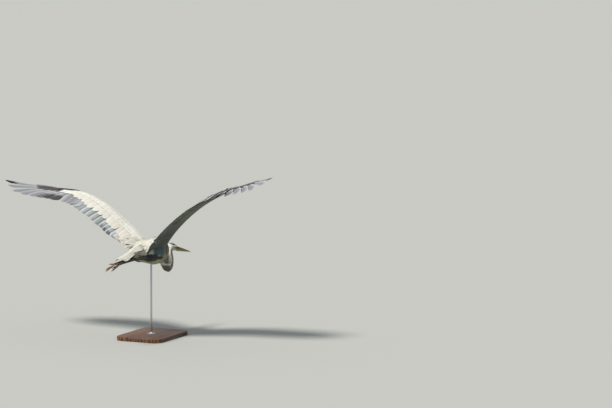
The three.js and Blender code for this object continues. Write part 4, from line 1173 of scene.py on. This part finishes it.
for name, (quills, share, factor, half, low, high, nearness, below, seed) in COVERT_ROWS.items():
    q = np.arange(*quills)
    length = between(QUILL_LENGTH, q) * (factor * between(share, q))
    root_x, root_y, angle = between(QUILL_X, q), between(QUILL_Y, q) * nearness, between(QUILL_ANGLE, q)
    middle = length * (0.6 - 0.3 * smooth(15, 17, q))
    base = wing_plan_marks(root_x + middle * np.sin(np.radians(angle)), root_y + middle * np.cos(np.radians(angle)),
                           np.full(len(q), below))
    base = base * (1 + 0.12 * (np.random.default_rng(seed).random((len(q), 1)) - 0.5))
    tones = shaded_vanes(base, COVERT_SHARES, COVERT_COLUMNS, "#5F6A60" if below else "#EFEDE4", 0.18, foot=0.86,
                         shaft="#8E8C86", shaft_share=0.15)
    feathers = np.stack([root_x, root_y, angle, length, low + 0.0 * q, high + 0.0 * q, 0.0 * q], -1)
    wing_feathers(name, "plumage_grey" if below else "plumage_pale", plumage, feathers, COVERT_SHARES, COVERT_COLUMNS,
                  covert_widths(between(half, q)), tones, tones * 0.7, below=below, seed=seed, rib=0.35, thick=0.3,
                  jitter=2.5)
tones = shaded_vanes(plain(WING_DARK, len(ALULA)), COVERT_SHARES, COVERT_COLUMNS, "#5A5254", 0.3)
wing_feathers("alula", "plumage_dark", flight, ALULA, COVERT_SHARES, COVERT_COLUMNS, covert_widths([9, 9.5, 9.5]), tones,
              tones, seed=41)

# ---------------------------------------------------------------- tail
# Twelve blunt feathers, nearly closed, the middle pair on top, with soft coverts over and under their feet.
# Pale cream with a warm flush above, dark below.
TAIL_ROOT, TAIL_LENGTH, TAIL_HALF, TAIL_FAN, TAIL_DROOP, TAIL_ROOF = (0, -166, 49), 197, 14, 5.5, 8.5, 12
NARROW_VANE, BROAD_VANE = 7.0, 13.0
TAIL_COVERT_ROWS = ((-8, 84, 1.6), (-20, 72, 3.4), (-36, 66, 5.4))
TAIL_COVERT_HALF, TAIL_COVERTS_ACROSS = 9.5, 7


def tail_place(q, reach, height):
    """Points over the tail: q from side to side, reach back from its root and height above it."""
    turn = np.radians(TAIL_FAN * q)
    x = TAIL_HALF * 0.8 * q + np.sin(turn) * reach
    y = -np.cos(turn) * reach
    z = height - TAIL_ROOF * q**2 * (0.4 + 0.6 * np.clip(reach / TAIL_LENGTH, 0, 1))
    droop = radians(TAIL_DROOP)
    return np.stack([x, y * cos(droop) - z * sin(droop), y * sin(droop) + z * cos(droop)], -1) + TAIL_ROOT


t = FLIGHT_SHARES[None, :]
q = np.concatenate([s * (2 * np.arange(6) + 1) / 11 for s in (-1, 1)])[:, None]
centre = tail_place(q + 0 * t, TAIL_LENGTH * (1 - 0.05 * q**2) * t, 1.2 - 3.0 * np.abs(q) + 0 * t)
up = np.stack([q * 0.35 + 0 * t, 0 * (q + t), 1 + 0 * (q + t)], -1)
form = flight_widths([1.0], [1.0], [0.0])[1]
widths = np.stack([np.where(q > 0, a, b) * form for a, b in ((NARROW_VANE, BROAD_VANE), (BROAD_VANE, NARROW_VANE))])
u = np.abs(FLIGHT_COLUMNS)[None, None, :]
tail_tones = [painted(plain(base, len(q), len(FLIGHT_SHARES), len(FLIGHT_COLUMNS)),
                      (edge, smooth(0.45, 1.0, u) * 0.8),
                      ("#8E8078", smooth(0.5, 0.2, u) * smooth(0.2, 0.05, t)[..., None]),
                      (shaft, smooth(0.12, 0.03, u) * 0.7))
              for base, edge, shaft in (("#CBC8BD", "#EAE7DC", "#A79C93"), ("#6A655C", "#8A857A", "#9A948A"))]
widths = frayed(widths, FLIGHT_SHARES, np.random.default_rng(51))
vanes("tail_vanes", "plumage_grey", flight, centre, up, widths, FLIGHT_COLUMNS, 0.5, 0.05, 0.7, *tail_tones,
      islands(len(q)), nodes=["tail"])

t = COVERT_SHARES[None, :]
for name, side, belly_share in (("tail_coverts", 1, 0.0), ("under_tail_coverts", -1, 0.8)):
    luck = np.random.default_rng(52)
    q = np.tile(np.linspace(-1.15, 1.15, TAIL_COVERTS_ACROSS), len(TAIL_COVERT_ROWS))[:, None]
    start, length, lift = np.repeat(np.array(TAIL_COVERT_ROWS), TAIL_COVERTS_ACROSS, axis=0).T[..., None]
    q = q + luck.normal(0, 0.06, q.shape)
    reach = start + length * luck.uniform(0.9, 1.1, q.shape) * t
    height = side * (1.6 + 0.6 * lift - 2.2 * np.abs(q) + 4.5 * smooth(80, 30, reach) * smooth(-60, 10, reach))
    centre = tail_place(q + 0 * t, reach, height)
    centre[..., 0] += 9 * q * smooth(70, -30, reach)
    up = side * np.stack([side * q * 0.5 + 0 * t, 0 * (q + t), 1 + 0 * (q + t)], -1)
    widths = frayed(covert_widths(np.full(len(q), TAIL_COVERT_HALF)), COVERT_SHARES, luck)
    base = painted(plain(RUMP, len(q)), (BELLY, np.full(len(q), belly_share))) * luck.uniform(0.92, 1.05, (len(q), 1))
    tones = shaded_vanes(base, COVERT_SHARES, COVERT_COLUMNS, "#F2EBE0", 0.4)
    vanes(name, "plumage_pale", plumage, centre, up, widths, COVERT_COLUMNS, 0.3, 0.08, 0.3, tones, tones * 0.8,
          islands(len(q)))

# ---------------------------------------------------------------- coat over the skin
# Small feathers strewn a set distance apart over the skin, each laid along it: from the bill back over the head,
# down the neck, back along the trunk and down the thighs, smallest on the face.
SHORT_SHARES = (0, 0.2, 0.4, 0.58, 0.74, 0.87, 0.95, 1.0)
LONG_SHARES = (0, 0.12, 0.24, 0.36, 0.48, 0.6, 0.7, 0.79, 0.87, 0.94, 1.0)
NARROW = np.array([-1.0, 0, 1.0])
BROAD = np.array([-1.0, -0.5, 0, 0.5, 1.0])

skin.data.calc_loop_triangles()
skin_triangles = np.array([t.vertices[:] for t in skin.data.loop_triangles])
skin_triangles = skin_triangles[(skin_triangles < len(at)).all(1)]
triangle_tract = tracts[skin_triangles[:, 0]]
triangle_at = unposed(skin_at[skin_triangles].mean(1))
triangle_size = np.linalg.norm(np.cross(skin_at[skin_triangles[:, 1]] - skin_at[skin_triangles[:, 0]],
                                        skin_at[skin_triangles[:, 2]] - skin_at[skin_triangles[:, 0]]), axis=1) / 2


def strewn_over(chosen, spacing, seed):
    """Points on the chosen triangles of the skin, no two nearer than their spacing in millimetres."""
    luck = np.random.default_rng(seed)
    gap = spacing(triangle_at[chosen])
    weight = triangle_size[chosen] / gap**2
    count = int(7 * weight.sum() * 1e6)
    picks = luck.choice(len(chosen), count, p=weight / weight.sum())
    a, b = luck.random((2, count, 1))
    a, b = np.where(a + b > 1, 1 - a, a), np.where(a + b > 1, 1 - b, b)
    corner = skin_at[skin_triangles[chosen][picks]]
    spots = corner[:, 0] + (corner[:, 1] - corner[:, 0]) * a + (corner[:, 2] - corner[:, 0]) * b
    gaps = gap[picks] * 0.001
    cell = gaps.max()
    taken, kept = {}, []
    for i, (spot, near) in enumerate(zip(spots.tolist(), gaps.tolist())):
        home = tuple(int(c // cell) for c in spot)
        around = (other for dx, dy, dz in product((-1, 0, 1), repeat=3)
                  for other in taken.get((home[0] + dx, home[1] + dy, home[2] + dz), ()))
        if not any(sum((m - n) ** 2 for m, n in zip(spot, other)) < near * near for other in around):
            taken.setdefault(home, []).append(spot)
            kept.append(i)
    return spots[kept]


def lie(points, tract):
    """The way that the feathers point at points of the bird."""
    level = np.full(len(points), -1.0)
    if tract == HEAD:
        local = in_head(points)
        back = np.stack([local[:, 0] * 0.012, level, -0.10 - 0.012 * (30 - local[:, 1])], -1)
        return unit(back @ head_turn.T)
    if tract == NECK:
        return -on_neck(points)[2]
    if tract == THIGH:
        return unit(np.stack([-0.05 * np.sign(points[:, 0]), level, 0 * level], -1))
    if tract == WING:
        x = plan_place(points)[:, 0]
        q = np.interp(x, [p[1] for p in QUILL_X], [p[0] for p in QUILL_X])
        turn = np.radians(between(QUILL_ANGLE, q) * 0.8)[:, None]
        way = np.empty((len(x), 3))
        for side in (-1, 1):
            here = (points[:, 0] < 0) == (side < 0)
            along, back, _ = wing_frame(x[here], side)
            way[here] = (along * np.sin(turn[here]) + back * np.cos(turn[here])) * (side, 1, 1)
        return unit(way)
    x, y, z = points.T
    down = smooth(60, 120, y) * -0.35 * np.sign(z - 5)
    return unit(np.stack([0.05 * np.sign(x) * smooth(0, 60, y), level, 0.12 * down], -1))


def coat(name, slot, roots, headings, lengths, halves, depths, base, patch, shares, outline, columns, seed,
         edge="#F2EEE6", edge_share=0.2, foot=0.7, stray=5.0, arch=0.10, ground=skin_tree, fray=0.10, thick=0.2,
         rib=0.05):
    """Feathers laid from roots on the skin, each row of points following it a little higher than the last."""
    luck = np.random.default_rng(seed)
    n, shares = len(roots), np.asarray(shares, float)
    halves = np.broadcast_to(halves, n)[:, None]
    lengths = lengths * luck.uniform(0.85, 1.12, n)
    place, way = roots.copy(), turned_with_bird(headings)
    centre, up = np.empty((n, len(shares), 3)), np.empty((n, len(shares), 3))
    swing = np.tan(np.radians(luck.normal(0, stray, n)))
    for r, share in enumerate(shares):
        if r:
            place = place + way * (lengths * (share - shares[r - 1]) * 0.001)[:, None]
        found = [ground.find_nearest(Vector(p)) for p in place]
        place = np.array([f[0] for f in found])
        normal = np.array([f[1] for f in found])
        way = unit(way - normal * (way * normal).sum(1, keepdims=True))
        if not r:
            way = unit(way + np.cross(normal, way) * swing[:, None])
        centre[:, r], up[:, r] = place, normal
    for _ in range(2):
        up[:, 1:-1] = (up[:, :-2] + 2 * up[:, 1:-1] + up[:, 2:]) / 4
    up = unit(up)
    rise = (depths * luck.uniform(0.85, 1.15, n))[:, None] * (-0.12 + 1.0 * shares**0.75)
    centre = unposed(centre + up * rise[..., None] * 0.001)
    up = unposed(up * 0.001 + posed([0, 0, 0]))
    half = halves * outline(shares) * luck.uniform(0.9, 1.1, (n, 1))
    widths = frayed(np.stack([half, half]), shares, luck, fray, 0.35)
    colours = shaded_vanes(base * (1 + 0.12 * (luck.random((n, 1)) - 0.5)), shares, columns, edge, edge_share, foot)
    vanes(name, slot, plumage, centre, up, widths, columns, rib * halves, arch, thick, colours, colours * 0.75,
          tufts_at(patch))


def round_tip(shares):
    return np.interp(shares, [0, 0.2, 0.4, 0.6, 0.75, 0.87, 0.95, 1.0], [0.3, 0.75, 0.97, 1.0, 0.88, 0.62, 0.34, 0.05])


def lance_tip(shares):
    return np.interp(shares, [0, 0.15, 0.35, 0.55, 0.75, 0.9, 1.0], [0.35, 0.85, 1.0, 0.85, 0.56, 0.28, 0.03])


def evenly(gap):
    return lambda p: gap + 0 * p[:, 0]


# trunk: soft narrow feathers from 20 mm at the neck to 44 mm on the back, fluffed on the belly
on_trunk = np.flatnonzero(triangle_tract == TRUNK)
roots = strewn_over(on_trunk, lambda p: 4.1 - 0.9 * smooth(70, 120, p[:, 1]), 11)
spots = unposed(roots)
size = (32 + 12 * smooth(-20, 30, spots[:, 2])) * (1 - 0.45 * smooth(50, 120, spots[:, 1]))
angle = np.arctan2(spots[:, 0], spots[:, 2] - 14) / (2 * pi) + 0.5
patch = np.stack([angle, (spots[:, 1] + 210) / 345], -1)
fluffed = 3.4 + 6 * smooth(0, -45, spots[:, 2]) * smooth(120, 70, spots[:, 1])
coat("trunk_coat", "plumage_pale", roots, lie(spots, TRUNK), size, size * 0.085, fluffed, trunk_marks(spots),
     patch, (0, 0.25, 0.5, 0.72, 0.89, 1.0), lance_tip, NARROW, 12, edge_share=0.06, foot=0.8, stray=7)

# thighs: feathers that shorten towards the heel
on_thighs = np.flatnonzero(triangle_tract == THIGH)
roots = strewn_over(on_thighs, evenly(4.6), 13)
spots = unposed(roots)
size = 24 - 9 * smooth(-100, -180, spots[:, 1])
angle = np.arctan2(spots[:, 2] + 8, spots[:, 0] - 30 * np.sign(spots[:, 0])) / (4 * pi)
patch = np.stack([angle + 0.25 + 0.5 * (spots[:, 0] > 0), -spots[:, 1] / 230], -1)
coat("thigh_coat", "plumage_dark", roots, lie(spots, THIGH), size, size * 0.15, 2.8, thigh_marks(spots), patch,
     SHORT_SHARES, lance_tip, NARROW, 14, edge="#5A5450", edge_share=0.2)

# neck: narrow pointed feathers, fluffed at the front of the loop
on_the_neck = np.flatnonzero(triangle_tract == NECK)
roots = strewn_over(on_the_neck, evenly(2.3), 15)
spots = unposed(roots)
share, angle, _ = on_neck(spots)
size = 18 - 7 * share
fluffed = 2.4 + 8 * band(share, 0.34, 0.48, 0.64, 0.76) * smooth(110, 70, np.abs(angle))
patch = np.stack([angle / 360 + 0.5, share], -1)
coat("neck_coat", "plumage_neck", roots, lie(spots, NECK), size, size * 0.10, fluffed, neck_marks(spots), patch,
     SHORT_SHARES, lance_tip, NARROW, 16, edge_share=0.06, foot=0.85)

# head: the smallest feathers, none on the lores, lids or lips
local = in_head(triangle_at)
off_middle = np.abs(local[:, 0]) > 4
bare_face = (local[:, 1] > 15.5) & (np.abs(local[:, 2] - 3.6) < 4.3) & off_middle
bare_face |= (local[:, 1] > 9) & (np.abs(local[:, 2] - gape_height(local[:, 1])) < 1.0) & off_middle
bare_face |= local[:, 1] > 30
for side in (-1, 1):
    _, forth, off_axis = from_eye(local, side)
    bare_face |= (off_axis < 6.2) & (forth > 0)
on_the_head = np.flatnonzero((triangle_tract == HEAD) & ~bare_face)
roots = strewn_over(on_the_head, lambda p: 1.25 + 0.65 * smooth(15, -25, in_head(p)[:, 1]), 17)
spots = unposed(roots)
local = in_head(spots)
size = 3.6 + 6.0 * smooth(24, -25, local[:, 1])
patch = np.stack([np.arctan2(local[:, 0], local[:, 2] - 3) / (2 * pi) + 0.5, (local[:, 1] + 38) / 72], -1)
coat("head_coat", "plumage_neck", roots, lie(spots, HEAD), size, 0.32 + size * 0.10, 0.5 + size * 0.07,
     head_marks(spots), patch, (0, 0.25, 0.5, 0.75, 0.9, 1.0), lance_tip, NARROW, 18, edge_share=0.08, thick=0.1)

# wings: the lesser coverts over arm and hand, above and below
on_wings = np.flatnonzero(triangle_tract == WING)
wing_places = plan_place(triangle_at[on_wings])
rear_of_small = 0.62 * np.interp(wing_places[:, 0], [p[1] for p in QUILL_X], [p[1] for p in QUILL_Y]) + 14
roots = strewn_over(on_wings[wing_places[:, 1] < rear_of_small], evenly(4.9), 19)
spots = unposed(roots)
x, y, height = plan_place(spots).T
above = is_above(x, y, height)
size = 14 + 20 * smooth(4, 60, y) * between([[0, 1], [365, 0.9], [600, 0.6]], x)
base = wing_plan_marks(x, y + size * 0.5, ~above)
for side_name, side in (("left", -1), ("right", 1)):
    here = spots[:, 0] * side > 0
    patch = np.stack([(x[here] + 20) / 700, y[here] / 300 + 0.5 * above[here]], -1)
    coat(f"lesser_coverts_{side_name}", "plumage_pale", roots[here], lie(spots[here], WING), size[here],
         size[here] * 0.2, 2.2, base[here], patch, SHORT_SHARES, round_tip, NARROW, 20 + side, edge_share=0.12,
         foot=0.86)

# ---------------------------------------------------------------- mantle and scapulars
# Long lance-shaped plumes stream back from the shoulders and drape over the roots of the wings, so that back
# and wing run into one another. They lie on a saddle drawn over the trunk and the raised arms.
SADDLE_STEP, SADDLE_OVER_WING, SADDLE_OVER_ALL, SKY_HEIGHT = 5.0, 6.0, 1.5, 400
down_it = Vector(turned_with_bird(np.array([0, 0, -1.0])))
root_x, root_y = np.meshgrid(np.linspace(-15, 130, 20), np.linspace(20, 215, 24), indexing="ij")
beds = [skin_tree]
for side in (-1, 1):
    beds.append(grid_tree(posed(wing_point(root_x, root_y, SADDLE_OVER_WING + 0 * root_x, side) * (side, 1, 1))))
saddle_x, saddle_y = np.meshgrid(np.arange(-115, 116, SADDLE_STEP), np.arange(-200, 111, SADDLE_STEP), indexing="ij")
saddle_z = np.full(saddle_x.shape, np.nan)
for i, j in np.ndindex(saddle_x.shape):
    above_it = Vector(posed([saddle_x[i, j], saddle_y[i, j], SKY_HEIGHT]))
    hits = [hit for hit in (tree.ray_cast(above_it, down_it)[3] for tree in beds) if hit is not None]
    if hits:
        saddle_z[i, j] = SKY_HEIGHT - 1000 * min(hits)
saddle_z = np.where(np.isnan(saddle_z), np.nanmin(saddle_z), saddle_z)
bed = saddle_z.copy()
for _ in range(14):
    blurred = (np.roll(bed, 1, 0) + np.roll(bed, -1, 0) + np.roll(bed, 1, 1) + np.roll(bed, -1, 1) + 2 * bed) / 6
    bed[1:-1, 1:-1] = np.maximum(saddle_z, blurred)[1:-1, 1:-1]
saddle_tree = grid_tree(posed(np.stack([saddle_x, saddle_y, bed + SADDLE_OVER_ALL], -1)), upward=True)

luck = np.random.default_rng(61)
roots, headings, size = [], [], []
for y in np.arange(72, -62, -8.0):
    for x in np.arange(4 if int(y / 8) % 2 else 8, 64, 8.5):
        for side in (-1, 1):
            spot = np.array([side * x + luck.normal(0, 1.2), y + luck.normal(0, 1.5), 90])
            roots.append(saddle_tree.ray_cast(Vector(posed(spot + (0, 0, 60))), down_it)[0])
            headings.append([side * (0.04 + 0.0045 * x * smooth(70, 10, y)), -1, 0])
            size.append((34 + 62 * smooth(64, -10, y)) * (0.72 + 0.28 * smooth(5, 40, x)) * luck.uniform(0.85, 1.1))
roots, headings, size = np.array(roots), unit(np.array(headings, float)), np.array(size)
spots = unposed(roots)
patch = np.stack([spots[:, 0] / 160 + 0.5, (spots[:, 1] + 80) / 170], -1)
coat("scapular_plumes", "plumage_pale", roots, headings, size, 3.2 + size * 0.055, 2.8,
     trunk_marks(spots * (0.4, 0.3, 1) + (0, -30, 30)), patch, LONG_SHARES, lance_tip, BROAD, 62, edge="#F0EDE3",
     edge_share=0.25, foot=0.72, ground=saddle_tree, stray=5, fray=0.14)

# ---------------------------------------------------------------- plumes of head and neck
# Two long black plumes and some shorter ones trail from the nape, and loose pointed plumes hang from the base
# of the foreneck and lie back under the breast.
CREST_LENGTHS = (104, 62, 44, 34)
crest = [(side * (2.0 + 2.2 * k), -27 - 1.5 * k, 17 - 2 * k) for side in (-1, 1) for k in range(len(CREST_LENGTHS))]
roots = np.array([skin_tree.find_nearest(Vector(p))[0] for p in posed(of_head(crest))])
size = np.array(CREST_LENGTHS * 2, float)
patch = np.stack([np.linspace(0.1, 0.9, len(size)), 0 * size + 0.5], -1)
coat("nape_plumes", "plumage_dark", roots, lie(unposed(roots), NECK), size, 1.7, 4.5, plain(BROW, len(size)), patch,
     LONG_SHARES, lance_tip, NARROW, 71, edge="#3A3438", edge_share=0.3, foot=1.0, stray=3)

share, angle, _ = on_neck(triangle_at[on_the_neck])
on_breast = on_the_neck[(share < 0.58) & (share > 0.26) & (np.abs(angle) < 62)]
roots = strewn_over(on_breast, evenly(6.5), 73)
spots = unposed(roots)
share, angle, _ = on_neck(spots)
dark_ones = np.random.default_rng(74).random(len(roots)) < 0.3
base = np.where(dark_ones[:, None], rgb("#39332F"), painted(neck_marks(spots), ("#BDB9A6", np.full(len(roots), 0.7))))
coat("foreneck_plumes", "plumage_neck", roots, lie(spots, NECK), 46 + 20 * smooth(0.48, 0.25, share), 2.4, 9.0, base,
     np.stack([angle / 360 + 0.5, share], -1), LONG_SHARES, lance_tip, NARROW, 75, stray=8)

# ---------------------------------------------------------------- camera, light and floor
# A plain pale floor, a soft high key light from behind the left shoulder of the viewer, and a pale sky for fill.
VIEW_AZIMUTH, VIEW_ELEVATION, VIEW_DISTANCE, VIEW_WIDTH, SENSOR = 26.0, 8.1, 45.0, 3.034, 36
AIM_RIGHT, AIM_UP = 0.763, 0.246
KEY_ENERGY, KEY_SPREAD, KEY_COLOUR, KEY_FROM = 3.8, 12, (1.0, 0.97, 0.92), (-0.42, 0.88, -0.58)
SKY_COLOUR, SKY_STRENGTH, FLOOR_RADIUS = (0.86, 0.90, 0.95, 1), 0.5, 260

a, e = radians(VIEW_AZIMUTH), radians(VIEW_ELEVATION)
right = Vector((cos(a), sin(a), 0))
forward = Vector((-sin(a) * cos(e), cos(a) * cos(e), -sin(e)))
upward = right.cross(forward)
aim = Vector((0, 0, FLYING_HEIGHT)) + right * AIM_RIGHT + upward * AIM_UP
camera = bpy.data.objects.new("camera", bpy.data.cameras.new("camera"))
scene.collection.objects.link(camera)
view_turn = forward.to_track_quat("-Z", "Y").to_matrix().to_4x4()
camera.matrix_world = Matrix.Translation(aim - forward * VIEW_DISTANCE) @ view_turn
camera.data.sensor_width = SENSOR
camera.data.lens = SENSOR * VIEW_DISTANCE / VIEW_WIDTH
camera.data.clip_end = 500
scene.camera = camera

key = bpy.data.objects.new("key_light", bpy.data.lights.new("key_light", "SUN"))
key.data.energy, key.data.angle, key.data.color = KEY_ENERGY, radians(KEY_SPREAD), KEY_COLOUR
key_from = right * KEY_FROM[0] + upward * KEY_FROM[1] + forward * KEY_FROM[2]
key.matrix_world = key_from.to_track_quat("Z", "Y").to_matrix().to_4x4()
scene.collection.objects.link(key)
world = bpy.data.worlds.new("studio")
world.use_nodes = True
world.node_tree.nodes["Background"].inputs["Color"].default_value = SKY_COLOUR
world.node_tree.nodes["Background"].inputs["Strength"].default_value = SKY_STRENGTH
scene.world = world
scene.view_settings.view_transform = "Standard"

# pale studio paper: matt, so that only the soft shadow of the bird shows on it
bm = bmesh.new()
bmesh.ops.create_circle(bm, cap_ends=True, segments=96, radius=FLOOR_RADIUS)
floor = placed("floor", bm)
floor.data.materials.append(material("pale_studio_floor", Base_Color=linear("#A9ABA6"), Roughness=0.85))
